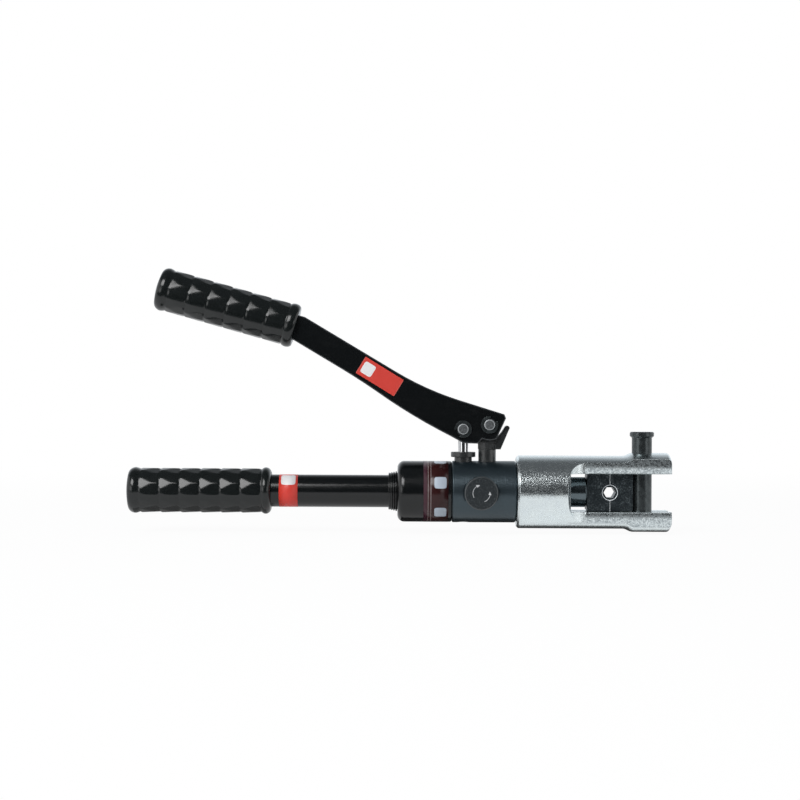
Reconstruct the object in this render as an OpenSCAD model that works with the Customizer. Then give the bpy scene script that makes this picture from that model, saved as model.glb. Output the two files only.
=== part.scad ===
// Hand operated hydraulic crimping tool, in millimetres.
// The tool lies along X, with its head at +X and its pumping lever above it at +Z.
// The origin is the centre of the hexagonal crimp nest, with the dies closed.

/* [Dies] */
// Length of each die half along the tool
die_l = 20; // [18:0.5:24]
// Thickness of the dies, seen from the side of the tool
die_t = 20; // [18:0.5:26]
// Hexagonal nest across its flats
nest_af = 9.3; // [6:0.1:11]
// Diameter of the bright chamfer round each mouth of the nest
nest_mouth_d = 13.6; // [13:0.1:15]
// Chamfer on the corners of the dies
die_chamfer = 1; // [0.5:0.1:1.5]
// Width of the tongues that guide the dies
tongue_w = 8; // [6:0.5:10]
// Height of the tongues that guide the dies
tongue_h = 1.5; // [1:0.1:2]
// Diameter of the screw that fixes the moving die on the ram
die_screw_d = 5; // [4:0.5:5.5]

/* [Fork head] */
// Outside diameter of the head
head_d = 64.0; // [62:0.1:68]
// Outside diameter of the thickened prong ends
prong_d = 69.4; // [68:0.1:76]
// Thickness of the head across its two milled flats
head_t = 36.8; // [34:0.2:42]
// Height of the window between the prongs
window_h = 33.2; // [31:0.2:35]
// Wall between the window and the cylinder
head_wall = 6.4; // [6:0.1:10]
// Distance from the axis of the latch pin to the prong ends
mouth_l = 24; // [20:0.2:30]
// Distance from the nest back to where the milled flats begin
flat_back = 19.5; // [15:0.5:22]
// Radius of the run-out at the back of the milled flats
flat_runout_r = 20; // [12:0.1:22]
// Rounding of the prong ends
prong_round = 3.2; // [2.5:0.1:6]
// Small chamfer on the edges of the head
head_chamfer = 1.8; // [1:0.1:2.5]
// Chamfer on the edges of the window
window_chamfer = 0.7; // [0.4:0.1:1]

/* [Cylinder and ram] */
// Diameter of the ram
ram_d = 26.4; // [24:0.2:28]
// Length of ram that shows in the window with the dies closed
ram_show = 15.7; // [13.6:0.1:18]
// Bore of the cylinder
cylinder_d = 44; // [42:0.5:45]
// Travel of the ram
stroke = 13; // [11:0.5:13]
// Length of the piston
piston_l = 7; // [6:0.5:9]
// Wire of the return spring
return_wire = 2; // [1.6:0.1:2.2]
// Space that the compressed return spring takes along the ram
return_space = 9.9; // [9.5:0.1:12]
// Pilot of the ram in the moving die
pilot_d = 12; // [10:0.5:14]
// Length of that pilot
pilot_l = 8; // [7:0.5:9]

/* [Latch pin] */
// Diameter of the latch pin
latch_d = 17.6; // [16:0.2:20]
// Diameter of the flange that the latch pin is pulled by
latch_flange_d = 21.2; // [20.6:0.2:26]
// Thickness of that flange
latch_flange_h = 5.3; // [4:0.1:9]
// Height of the taper under that flange
latch_taper = 1.6; // [0.8:0.1:3]
// Height of the underside of that flange above the tool's axis
latch_reach = 47.9; // [42:0.1:50]
// Depth of the lower end of the latch pin below the tool's axis
latch_depth = 32.4; // [31:0.2:33]
// Diameter of the knock-out hole under the latch pin
knockout_d = 6; // [4:0.5:8]
// Diameter of the ball that keeps the latch pin from falling out
detent_ball_d = 5; // [4:0.5:5.5]
// How far that ball reaches into the groove of the latch pin
detent_bite = 0.9; // [0.6:0.1:1.2]
// Height of that ball above the tool's axis
detent_z = 26; // [25:0.2:26.5]

/* [Pump body] */
// Diameter of the pump body
body_d = 54; // [52:0.2:58]
// Length of the pump body
body_l = 56.1; // [55:0.1:60]
// Length of the spigot that the head turns on
spigot_l = 10; // [9.5:0.1:12]
// Wire of the ring that holds the head on the spigot
swivel_wire = 2.5; // [2:0.1:2.8]
// Distance from the front of the pump body back to the release knob
knob_back = 31.4; // [30:0.2:33]
// Distance from the front of the pump body back to the fulcrum post
post_back = 25.2; // [24:0.2:27]
// Distance from the front of the pump body back to the plunger
plunger_back = 46.2; // [45.5:0.1:47]
// Length of the spigot that carries the reservoir
rear_spigot_l = 8; // [6:0.5:9]
// Length of the boss that carries the oil bladder
boss_l = 10; // [8:0.5:12]

/* [Pump and valves] */
// Diameter of the pump plunger
plunger_d = 8.6; // [8:0.2:9.4]
// Diameter of the eye on top of the plunger
plunger_eye_d = 18; // [17.6:0.2:19]
// Thickness of that eye
plunger_eye_t = 12; // [10:0.5:13]
// Height of the plunger's lower end above the tool's axis, at rest
plunger_low = 2.8; // [2.6:0.1:3]
// Diameter of the gland nut's flange
gland_flange_d = 21.6; // [19:0.2:22]
// Thickness of that flange
gland_flange_h = 4.4; // [3.5:0.1:5]
// Diameter of the gland nut's neck
gland_neck_d = 15.4; // [14.4:0.2:16.4]
// Height of the top of the gland nut above the tool's axis
gland_top = 34.8; // [34:0.1:35]
// Diameter of the gland nut's thread
gland_thread_d = 14; // [13:0.2:14.2]
// Height of the plunger's seal
seal_h = 4; // [3:0.2:4.2]
// Diameter of the balls of the inlet valve
inlet_ball_d = 4; // [3.5:0.1:4.2]
// Diameter of the balls of the outlet and relief valves
valve_ball_d = 5; // [4.5:0.1:5.4]
// Bore of the outlet and relief valves
valve_bore_d = 7; // [6.6:0.1:7.6]
// Diameter of the plug under the inlet valve
plug_d = 12; // [11:0.2:13]
// Diameter of the drilled oil ways
oilway_d = 3; // [2:0.1:3.2]
// Wire of the valve springs
valve_wire = 0.6; // [0.5:0.1:0.7]

/* [Release valve] */
// Diameter of the release knob
knob_d = 29; // [26:0.2:32]
// Thickness of the release knob
knob_h = 8.7; // [7:0.1:10]
// Diameter of the release screw
release_d = 10; // [8:0.5:10.5]
// Depth from the tool's axis to the tip of the release screw
release_tip = 4; // [3.5:0.1:5]
// Chamfer on the edges of the release knob
knob_chamfer = 1; // [0.5:0.1:1.5]

/* [Fulcrum post] */
// Diameter of the post's stem
post_d = 15.4; // [14:0.2:16]
// Hexagonal collar of the post across its flats
collar_af = 14.6; // [14:0.1:14.8]
// Height of that collar
collar_h = 7.4; // [6:0.1:7.6]
// Depth of the top of that collar below the fulcrum pin
collar_drop = 14.4; // [14:0.1:15]
// Height of the fulcrum pin above the tool's axis
fulcrum_z = 58.8; // [58:0.2:60]
// Distance from the axis of the post forward to the fulcrum pin
fulcrum_offset = 1.6; // [1:0.1:2]
// Diameter of the eye round the fulcrum pin
post_eye_d = 16; // [15:0.2:17]
// Thickness of that eye
post_eye_t = 16.4; // [15.8:0.1:16.5]
// Thickness of the arm that stops the lever
stop_t = 12; // [8:0.5:14]

/* [Lever] */
// Width of the lever over its two side plates
lever_w = 22; // [21.8:0.2:24]
// Thickness of the lever's plate
lever_plate = 2.5; // [2:0.1:2.6]
// Slope of the lever over the pump, in degrees
slope_pump = 17.2; // [16:0.1:19]
// Slope of the lever's long arm, in degrees
slope_arm = 30.7; // [29:0.1:32]
// Slope of the lever's grip, in degrees
slope_grip = 15.6; // [15:0.1:18]
// Height of the lever's back above the fulcrum pin, square to it
lever_back = 12.7; // [12.4:0.1:14]
// Depth of the lever at the grip
lever_depth_grip = 22.4; // [21:0.2:25]
// Depth of the lever at the pump
lever_depth_pump = 34.8; // [33:0.2:35]
// Radius of the bend in the lever's back
lever_bend_r = 262; // [220:1:290]
// Length of the long arm from the bend to the grip
lever_arm_l = 92.5; // [80:0.5:140]
// Length of the lever inside its grip
lever_tang_l = 95; // [60:1:105]
// Distance from the fulcrum pin back to the plunger pin
crank = 23.1; // [22.8:0.1:23.6]
// Depth of the plunger pin below the fulcrum pin
crank_drop = 3.8; // [3.4:0.1:4.2]
// Diameter of the fulcrum pin and of the plunger pin
pin_d = 9.4; // [8.6:0.1:9.8]
// How far these pins stand out of the lever at each side
pin_out = 2.6; // [2.2:0.1:3.5]
// Diameter of the clips on these pins
clip_d = 15; // [13:0.5:16]

/* [Handle and grips] */
// Diameter of the handle tube
tube_d = 28.4; // [26:0.2:30]
// Wall of the handle tube
tube_wall = 2.5; // [2:0.1:3.5]
// Length of tube between the reservoir's collar and the grip
tube_show = 102.8; // [80:0.2:140]
// Length of each grip
grip_l = 127.3; // [115:0.1:140]
// Diameter over the bulges of the handle's grip
grip_d = 39.7; // [38:0.1:42]
// Diameter over the bulges of the lever's grip
lever_grip_d = 37.8; // [37:0.1:40]
// How far the rolled lips of the grips stand out of the bulges
grip_lip_out = 0.6; // [0.2:0.1:1]
// Depth of the furrows between the grip's bulges
grip_furrow = 1; // [0.4:0.1:1.2]
// Number of bulges along each grip
grip_bulges = 6; // [4:1:8]

/* [Reservoir] */
// How far the reservoir shell lies below the surface of the pump body
shell_step = 0.3; // [0.1:0.1:0.8]
// Length of the reservoir shell
shell_l = 47.4; // [46:0.2:60]
// Wall of the reservoir shell
shell_wall = 3; // [2.4:0.1:3.4]
// Rounding at the back of the reservoir shell
shell_round = 6; // [3:0.1:7]
// Length of the tube's seat in the reservoir shell
tube_seat_l = 8; // [6:0.5:9]
// Length of the ribbed collar behind the reservoir
neck_l = 7.8; // [6:0.2:10]
// Diameter of the collar's last rib, beside the reservoir
neck_d = 35.1; // [33:0.1:36]
// Wall of the oil bladder
bladder_wall = 1.5; // [1.2:0.1:2]
// Length of the oil bladder
bladder_l = 28; // [26:0.5:30]

/* [Hidden] */
$fn = 96;
eps = 0.01;
// Clearances, each measured as a gap on one side
turn_fit = 0.06;
seat_fit = 0.05;
side_play = 0.3;
slide_play = 0.3;
pin_play = 0.2;
flange_gap = 0.4;
spring_play = 0.5;
// Turn of the post's hexagonal collar, in degrees
hex_collar_turn = 15;

// Places along the tool, from the nest both ways
window_x = -(die_l + ram_show);
cylinder_x = window_x - head_wall;
piston_x = cylinder_x - return_space;
chamber_x = piston_x - piston_l - stroke;
body_x = chamber_x - spigot_l;
head_x = body_x + flange_gap;
body_rear_x = body_x - body_l;
boss_x = body_rear_x - rear_spigot_l - boss_l;
knob_x = body_x - knob_back;
post_x = body_x - post_back;
plunger_x = body_x - plunger_back;
shell_x = body_rear_x - flange_gap;
shell_rear_x = shell_x - shell_l;
neck_x = shell_rear_x - neck_l;
grip_x = neck_x - tube_show;
latch_x = die_l + pin_play + latch_d / 2;
prong_x = latch_x + mouth_l;

// Heights of the fulcrum and of what hangs on it
fulcrum_x = post_x + fulcrum_offset;
crank_x = fulcrum_x - crank;
crank_z = fulcrum_z - crank_drop;
post_collar_top = fulcrum_z - collar_drop;
post_collar_low = post_collar_top - collar_h;
lever_gap = lever_w - 2 * lever_plate;

// Swing of the lever down to its stop, in degrees, and the plunger's travel that goes with it
lever_down = 16.5;
plunger_drop = crank * sin(lever_down);
// Sideways shift of the plunger pin in its slot, to each side of the plunger's axis
shift_back = (plunger_x - crank_x) + sqrt(pow(crank, 2) + pow(crank_drop, 2)) - crank;
shift_front = (crank_x - plunger_x) + crank * (1 - cos(lever_down)) + crank_drop * sin(lever_down);

// Heights of the bores under the plunger
plunger_floor = plunger_low - plunger_drop - 0.3;
throat_h = 1;
pocket_top = plunger_floor - throat_h;
inlet_seat_d = 2.4;
inlet_seat_z = pocket_top - 7;
inlet_ball_z = inlet_seat_z + sqrt(pow(inlet_ball_d / 2, 2) - pow(inlet_seat_d / 2, 2)) + seat_fit;
pocket_d = inlet_ball_d + 2;
seal_z = plunger_low + 11.3;
suction_z = inlet_seat_z - 2.2;
spot_depth = 1;
body_top = body_d / 2 - spot_depth;

// Outlet, pressure and relief ways in the pump body
outlet_z = pocket_top - 4;
valve_seat_d = 2.6;
valve_lift = sqrt(pow(valve_ball_d / 2, 2) - pow(valve_seat_d / 2, 2)) + seat_fit;
outlet_seat_x = post_x + post_d / 2 + 3.4;
relief_y = 10;
relief_x = knob_x;
relief_seat_x = plunger_x + 8;
valve_plug_l = 5;

// Release knob, in front of the pump body
knob_y = body_d / 2 - spot_depth + side_play;
post_stud_d = 13;
post_stud_z = 11;
grip_end_l = 6;
tube_rear_x = grip_x - grip_l + grip_end_l;
tube_front_x = shell_rear_x + tube_seat_l;
grip_axis = [-cos(slope_grip), sin(slope_grip)];

// The reservoir shell, whose bore is wider at the spigot, and the bladder and clamp inside it
shell_d = body_d - 2 * shell_step;
shell_bore_r = shell_d / 2 - shell_wall;
spigot_step = 0.3;
rear_spigot_d = 2 * (shell_bore_r + spigot_step);
clamp_t = 1;
clamp_l = 5;
clamp_gap = 0.4;
boss_d = 2 * (shell_bore_r - clamp_gap - clamp_t - seat_fit - bladder_wall);
bladder_front_x = boss_x + boss_l - 1;
bladder_rear_x = bladder_front_x - bladder_l;

// Points of an arc, from angle a to angle b
function arc(centre, r, a, b, steps = 8) =
  [for (i = [0:steps]) centre + r * [cos(a + (b - a) * i / steps), sin(a + (b - a) * i / steps)]];

// A profile of [place along the axis, radius] points, turned about the X axis
module turned(profile) {
  rotate([0, 90, 0])
    rotate_extrude()
      polygon([for (p = profile) [p[1], p[0]]]);
}

// The same, turned about a vertical axis at x
module turned_up(x, profile) {
  translate([x, 0, 0])
    rotate_extrude()
      polygon([for (p = profile) [p[1], p[0]]]);
}

// The same, turned about the axis through [x, z] that runs to the front of the tool
module turned_front(x, z, profile) {
  translate([x, 0, z])
    rotate([90, 0, 0])
      rotate_extrude()
        polygon([for (p = profile) [p[1], p[0]]]);
}

// A rod along X, Y or Z with its middle line through the given place
module rod_x(x0, x1, d, y = 0, z = 0) {
  translate([x0, y, z])
    rotate([0, 90, 0])
      cylinder(h = x1 - x0, d = d);
}

module rod_y(x, z, y0, y1, d) {
  translate([x, y1, z])
    rotate([90, 0, 0])
      cylinder(h = y1 - y0, d = d);
}

module rod_z(x, z0, z1, d, y = 0) {
  translate([x, y, z0])
    cylinder(h = z1 - z0, d = d);
}

// A plate with its outline in the plane of X and Z, centred on the tool
module plate(outline, thickness) {
  rotate([90, 0, 0])
    linear_extrude(thickness, center = true)
      polygon(outline);
}

// Profile of a plain ring about the axis
function ring_profile(x0, x1, inner_d, outer_d) =
  [[x0, inner_d / 2], [x1, inner_d / 2], [x1, outer_d / 2], [x0, outer_d / 2]];

// Profile of a solid rod about the axis, with a chamfer at each end
function rod_profile(x0, x1, d, c0 = 0, c1 = 0) =
  [[x0, 0], [x1, 0], [x1, d / 2 - c1], [x1 - c1, d / 2], [x0 + c0, d / 2], [x0, d / 2 - c0]];

// One unbroken coil of wire about Z, from height z0 up to z1
coil_sides = 6;
coil_rings = 8;
module coil(r, wire, z0, z1, turns) {
  steps = turns * coil_rings;
  rise = z1 - z0 - wire;
  function spot(i) =
    [r * cos(360 * i / coil_rings), r * sin(360 * i / coil_rings), z0 + wire / 2 + rise * i / steps];
  function out(i) = [cos(360 * i / coil_rings), sin(360 * i / coil_rings), 0];
  points = [
    for (i = [0:steps], k = [0:coil_sides - 1])
      spot(i) + wire / 2 * (cos(360 * k / coil_sides) * out(i) + sin(360 * k / coil_sides) * [0, 0, 1])
  ];
  function at(i, k) = i * coil_sides + k % coil_sides;
  walls = [
    for (i = [0:steps - 1], k = [0:coil_sides - 1], half = [0, 1])
      half == 0 ? [at(i, k), at(i, k + 1), at(i + 1, k + 1)] : [at(i, k), at(i + 1, k + 1), at(i + 1, k)]
  ];
  caps = [
    for (k = [1:coil_sides - 2], side = [0, 1])
      side == 0 ? [at(0, 0), at(0, k + 1), at(0, k)] : [at(steps, 0), at(steps, k), at(steps, k + 1)]
  ];
  polyhedron(points, concat(walls, caps));
  gaps = [
    for (i = [0:steps - coil_rings], k = [0:coil_sides - 1], j = [0:coil_sides - 1])
      norm(points[at(i, k)] - points[at(i + coil_rings, j)])
  ];
  echo("least gap between the turns of a spring", min(gaps));
}

// Mean radius of a spring in a bore, and how far from a ball's centre that spring begins
function spring_r(bore_d) = (bore_d - valve_wire) / 2 - spring_play;
function on_ball(ball_d, bore_d) =
  let (reach = (ball_d + valve_wire) / 2 + eps, near = spring_r(bore_d) * cos(180 / coil_rings))
  sqrt(pow(reach, 2) - pow(near, 2)) - valve_wire / 2;

// Fork head: a turned steel body with two milled flats and a window for the dies
module fork_head() {
  bulge_x = latch_x - 17.2;
  bulge_l = 9;
  bulge_rise = (prong_d - head_d) / 2;
  groove_h = tongue_h + slide_play;
  color("silver")
    difference() {
      turned(concat(
        [[head_x, 0], [head_x, head_d / 2 - head_chamfer], [head_x + head_chamfer, head_d / 2]],
        [for (i = [0:8])
          [bulge_x + bulge_l * i / 8, head_d / 2 + bulge_rise * (1 - cos(180 * i / 8)) / 2]],
        arc([prong_x - prong_round, prong_d / 2 - prong_round], prong_round, 90, 0),
        [[prong_x, 0]]
      ));
      // The window, open at the mouth, with a groove in each prong for the tongues
      translate([window_x, -head_d, -window_h / 2])
        cube([prong_x - window_x + 1, 2 * head_d, window_h]);
      translate([window_x, -tongue_w / 2 - slide_play, -window_h / 2 - groove_h])
        cube([prong_x - window_x + 1, tongue_w + 2 * slide_play, window_h + 2 * groove_h]);
      // The milled flats, with their round run-out and chamfered window edges
      for (side = [0, 1])
        mirror([0, side, 0]) {
          translate([0, 0, -prong_d])
            linear_extrude(2 * prong_d) {
              translate([-flat_back, head_t / 2])
                square([prong_x + flat_back + 1, prong_d]);
              translate([-flat_back, head_t / 2 + flat_runout_r])
                circle(flat_runout_r);
            }
          for (edge = [0, 1])
            mirror([0, 0, edge])
              translate([-flat_back, 0, 0])
                rotate([90, 0, 90])
                  linear_extrude(prong_x + flat_back + 1)
                    polygon([
                      [head_t / 2 - window_chamfer - 1, window_h / 2 - 1],
                      [head_t / 2 + 1, window_h / 2 - 1],
                      [head_t / 2 + 1, window_h / 2 + window_chamfer + 1]
                    ]);
        }
      // The bores of the cylinder, the ram and its wiper
      rod_x(head_x - 1, cylinder_x, cylinder_d);
      rod_x(cylinder_x - 1, window_x + 1, ram_d + 2 * turn_fit);
      rod_x(wiper_x - wiper_l / 2, wiper_x + wiper_l / 2, wiper_d + 2 * seat_fit);
      turned([[head_x - 1, 0], [head_x - 1, cylinder_d / 2 + 2.2], [head_x + 3.2, cylinder_d / 2 - 2],
        [head_x + 3.2, 0]]);
      // The head's half of the groove for the swivel ring
      swivel_groove(swivel_wire + 2 * turn_fit);
      // The bore of the latch pin, with a knock-out hole through its floor
      rod_z(latch_x, -latch_depth, prong_d, latch_d + 2 * turn_fit);
      rod_z(latch_x, -prong_d, 0, knockout_d);
      // The drilling for the ball, spring and screw behind the latch pin
      rod_x(latch_x, detent_screw_x, detent_ball_d + 2 * seat_fit, z = detent_z);
      rod_x(detent_screw_x, prong_x + 1, detent_screw_d + 2 * seat_fit, z = detent_z);
    }
}

wiper_d = ram_d + 7;
wiper_l = 4;
wiper_x = window_x - head_wall / 2;
swivel_x = body_x + spigot_l * 0.28;
detent_x = latch_x + latch_d / 2 - detent_bite + detent_ball_d / 2;
detent_screw_d = detent_ball_d + 1.4;
detent_screw_l = 7;
detent_screw_x = prong_x - detent_screw_l - 1;

module swivel_groove(wire) {
  translate([swivel_x, 0, 0])
    rotate([0, 90, 0])
      rotate_extrude()
        translate([cylinder_d / 2, 0])
          circle(d = wire);
}

// Outline of one die half, between x = 0 and its back
die_h = window_h - 2 * slide_play;
function die_outline(side) = [
  for (p = [[0, -die_h / 2], [die_l - die_chamfer, -die_h / 2], [die_l, -die_h / 2 + die_chamfer],
    [die_l, die_h / 2 - die_chamfer], [die_l - die_chamfer, die_h / 2], [0, die_h / 2]])
    [side * p[0], p[1]]
];

// A die half with half of the nest in its face, on the given side of the parting line
module die(side) {
  difference() {
    union() {
      plate(die_outline(side), die_t);
      translate([side > 0 ? 0 : -die_l + die_chamfer, -tongue_w / 2, -die_h / 2 - tongue_h])
        cube([die_l - die_chamfer, tongue_w, die_h + 2 * tongue_h]);
    }
    // The nest points up and down along the parting line
    rotate([90, 0, 0])
      cylinder(h = die_t + 2, d = nest_af / cos(30), center = true, $fn = 6);
    nest_mouths();
  }
}

module nest_mouths() {
  mouth_h = (nest_mouth_d - nest_af) / 2;
  for (side = [0, 1])
    mirror([0, side, 0])
      turned_front(0, 0, [[die_t / 2 - mouth_h, 0], [die_t / 2 - mouth_h, nest_af / 2],
        [die_t / 2, nest_mouth_d / 2], [die_t / 2 + 1, nest_mouth_d / 2], [die_t / 2 + 1, 0]]);
}

// Fine gap between the closed dies
parting = 0.05;

module fixed_die() {
  color("dimgray")
    translate([parting, 0, 0])
      die(1);
}

die_screw_x = -die_l + pilot_l - die_screw_d / 2 - 1;
die_screw_low = pilot_d / 2 - 0.6;

module moving_die() {
  color("dimgray")
    difference() {
      die(-1);
      rod_x(-die_l - 1, -die_l + pilot_l + seat_fit, pilot_d + 2 * seat_fit);
      rod_y(die_screw_x, 0, die_screw_low, die_t, die_screw_d + 2 * seat_fit);
    }
}

// Set screw behind the moving die, with its tip in the groove of the ram's pilot
module die_set_screw() {
  color("dimgray")
    difference() {
      rod_y(die_screw_x, 0, die_screw_low, die_t / 2 - 0.4, die_screw_d);
      translate([die_screw_x, die_t / 2 + 1, 0])
        rotate([90, 0, 0])
          cylinder(h = 4, d = die_screw_d * 0.6, $fn = 6);
    }
}

// Ram and piston in one piece, with the pilot that the moving die sits on
module ram() {
  seal_mid = piston_x - piston_l / 2;
  color("slategray")
    difference() {
      turned([
        [piston_x - piston_l, 0], [piston_x - piston_l, cylinder_d / 2 - turn_fit],
        [piston_x, cylinder_d / 2 - turn_fit], [piston_x, ram_d / 2],
        [-die_l - 1.4, ram_d / 2], [-die_l, ram_d / 2 - 1.4],
        [-die_l, pilot_d / 2], [-die_l + pilot_l, pilot_d / 2], [-die_l + pilot_l, 0]
      ]);
      turned(ring_profile(seal_mid - piston_seal_w / 2, seal_mid + piston_seal_w / 2,
        piston_groove_d, cylinder_d + 1));
      turned(ring_profile(die_screw_x - die_screw_d / 2 - seat_fit, die_screw_x + die_screw_d / 2 + seat_fit,
        2 * die_screw_low, pilot_d + 1));
    }
}

piston_seal_w = 3;
piston_groove_d = cylinder_d - 6;

module piston_seal() {
  seal_mid = piston_x - piston_l / 2;
  color("black")
    turned(ring_profile(seal_mid - piston_seal_w / 2, seal_mid + piston_seal_w / 2,
      piston_groove_d, cylinder_d - 2 * turn_fit));
}

module ram_wiper() {
  color("black")
    turned(ring_profile(wiper_x - wiper_l / 2, wiper_x + wiper_l / 2, ram_d + 2 * turn_fit, wiper_d));
}

module ram_return_spring() {
  color("silver")
    translate([piston_x, 0, 0])
      rotate([0, 90, 0])
        coil((ram_d / 2 + cylinder_d / 2) / 2, return_wire, seat_fit, return_space - seat_fit, 3);
}

// Latch pin, with the long groove that its ball runs in
module latch_pin() {
  groove_d = detent_ball_d + 0.2;
  latch_rise = latch_depth + window_h / 2;
  groove_low = detent_z - latch_rise - 0.1;
  color([0.13, 0.14, 0.15])
    difference() {
      turned_up(latch_x, [
        [-latch_depth, 0], [-latch_depth, latch_d / 2 - 1], [1 - latch_depth, latch_d / 2],
        [latch_reach, latch_d / 2], [latch_reach + latch_taper, latch_flange_d / 2],
        [latch_reach + latch_flange_h - 0.8, latch_flange_d / 2],
        [latch_reach + latch_flange_h, latch_flange_d / 2 - 0.8], [latch_reach + latch_flange_h, 0]
      ]);
      rod_z(detent_x, groove_low, detent_z, groove_d);
      for (z = [groove_low, detent_z])
        translate([detent_x, 0, z])
          sphere(d = groove_d);
    }
}

module detent_ball() {
  color("silver")
    translate([detent_x, 0, detent_z])
      sphere(d = detent_ball_d);
}

module detent_spring() {
  color("silver")
    translate([detent_x, 0, detent_z])
      rotate([0, 90, 0])
        coil(spring_r(detent_ball_d), valve_wire, on_ball(detent_ball_d, detent_ball_d),
          detent_screw_x - detent_x - seat_fit, 3);
}

// A screw with a hexagonal socket, along X, with its head end at x1
socket_l = 2.5;
module socket_screw_x(x0, x1, d, y = 0, z = 0, bore = 0) {
  difference() {
    rod_x(x0, x1, d, y, z);
    translate([x1 - socket_l, y, z])
      rotate([0, 90, 0])
        cylinder(h = socket_l + 1, d = d * 0.58, $fn = 6);
    if (bore > 0)
      rod_x(x0 - 1, x1, bore, y, z);
  }
}

module detent_screw() {
  color("dimgray")
    socket_screw_x(detent_screw_x, detent_screw_x + detent_screw_l, detent_screw_d, z = detent_z);
}

// Pump body: one turned and drilled block that carries the head, the lever and the reservoir
module pump_body() {
  seal_x = chamber_x - 2 - cylinder_seal_w;
  front_edge = 1.2;
  color([0.25, 0.3, 0.34])
    difference() {
      turned([
        [boss_x, 0], [boss_x, boss_d / 2], [boss_x + boss_l, boss_d / 2],
        [boss_x + boss_l, rear_spigot_d / 2], [body_rear_x, rear_spigot_d / 2],
        [body_rear_x, body_d / 2 - 0.8], [body_rear_x + 0.8, body_d / 2],
        [body_x - front_edge, body_d / 2], [body_x, body_d / 2 - front_edge],
        [body_x, cylinder_d / 2 - turn_fit], [chamber_x, cylinder_d / 2 - turn_fit], [chamber_x, 0]
      ]);
      // Grooves of the swivel ring and of the seals on both spigots
      swivel_groove(swivel_wire);
      turned(ring_profile(seal_x, seal_x + cylinder_seal_w, cylinder_d - 5, cylinder_d + 1));
      turned(ring_profile(shell_seal_x, shell_seal_x + shell_seal_w, rear_spigot_d - 4, rear_spigot_d + 1));
      // Bore of the plunger, its seal and its gland nut
      rod_z(plunger_x, body_top, body_d, gland_neck_d + 2);
      rod_z(plunger_x, seal_z, body_d, gland_thread_d + 2 * seat_fit);
      rod_z(plunger_x, plunger_floor, body_d, plunger_d + 2 * turn_fit);
      // Inlet valve under the plunger, with its plug from below
      rod_z(plunger_x, pocket_top - 1, plunger_floor + 1, plunger_d / 2);
      rod_z(plunger_x, inlet_seat_z - 1, pocket_top, pocket_d);
      rod_z(plunger_x, -body_d, inlet_seat_z, plug_d + 2 * seat_fit);
      rod_x(boss_x - 1, plunger_x, oilway_d, z = suction_z);
      rod_x(boss_x - 1, boss_x + strainer_h, strainer_d + 2 * seat_fit, z = suction_z);
      // Outlet valve, between the pocket of the inlet valve and the cylinder
      rod_x(plunger_x, outlet_seat_x + 1, valve_seat_d, z = outlet_z);
      rod_x(outlet_seat_x, chamber_x + 1, valve_bore_d + 2 * seat_fit, z = outlet_z);
      // Pressure way to the release screw, and the way back to the reservoir
      rod_x(knob_x, chamber_x + 1, oilway_d);
      rod_y(knob_x, 0, -release_tip, release_tip, valve_seat_d);
      rod_y(knob_x, 0, -body_d, -release_tip, release_d + 2 * turn_fit);
      rod_y(knob_x, 0, -body_d, -body_top, knob_d + 2);
      rod_x(boss_x - 1, knob_x, oilway_d, y = -release_tip - 5);
      // Relief valve, behind the pressure way
      rod_x(boss_x - 1, relief_seat_x, valve_bore_d + 2 * seat_fit, y = relief_y);
      rod_x(relief_seat_x - 1, relief_x, valve_seat_d, y = relief_y);
      rod_y(relief_x, 0, 0, relief_y + valve_seat_d / 2, valve_seat_d);
      // Stud hole and seat of the fulcrum post
      rod_z(post_x, post_stud_z - seat_fit, body_d, post_stud_d + 2 * seat_fit);
      rod_z(post_x, body_top, body_d, post_d + 1);
    }
}

cylinder_seal_w = 2.4;
shell_seal_w = 2.4;
shell_seal_x = body_rear_x - 4.4;
strainer_d = 6;
strainer_h = 1.5;

module swivel_ring() {
  color("silver")
    difference() {
      swivel_groove(swivel_wire - 2 * turn_fit);
      translate([swivel_x - swivel_wire, -2, -body_d])
        cube([2 * swivel_wire, 4, body_d]);
    }
}

module cylinder_seal() {
  seal_x = chamber_x - 2 - cylinder_seal_w;
  color("black")
    turned(ring_profile(seal_x, seal_x + cylinder_seal_w, cylinder_d - 5, cylinder_d - 2 * turn_fit));
}

module gland_nut() {
  thread_z = seal_z + seal_h;
  flange_z = gland_top - gland_flange_h;
  color([0.12, 0.13, 0.13])
    difference() {
      turned_up(plunger_x, [
        [thread_z, 0], [thread_z, gland_thread_d / 2], [body_top, gland_thread_d / 2],
        [body_top, gland_neck_d / 2], [flange_z, gland_neck_d / 2],
        [flange_z, gland_flange_d / 2 - 0.4], [flange_z + 0.4, gland_flange_d / 2],
        [gland_top - 0.4, gland_flange_d / 2], [gland_top, gland_flange_d / 2 - 0.4], [gland_top, 0]
      ]);
      rod_z(plunger_x, 0, gland_top + 1, plunger_d + 2 * turn_fit);
    }
}

module plunger_seal() {
  color("black")
    turned_up(plunger_x, ring_profile(seal_z, seal_z + seal_h, plunger_d + 2 * turn_fit, gland_thread_d));
}

// Pump plunger, with a slotted eye that follows the swing of its pin
module plunger() {
  slot_h = pin_d + 2 * slide_play;
  slot_back = plunger_x - shift_back - slide_play;
  slot_front = plunger_x + shift_front + slide_play;
  color("gainsboro")
    difference() {
      union() {
        turned_up(plunger_x, rod_profile(plunger_low, crank_z, plunger_d, 0.6, 0));
        rod_y(plunger_x, crank_z, -plunger_eye_t / 2, plunger_eye_t / 2, plunger_eye_d);
      }
      for (x = [slot_back, slot_front])
        rod_y(x, crank_z, -plunger_eye_t, plunger_eye_t, slot_h);
      translate([slot_back, -plunger_eye_t, crank_z - slot_h / 2])
        cube([slot_front - slot_back, 2 * plunger_eye_t, slot_h]);
    }
}

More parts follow.
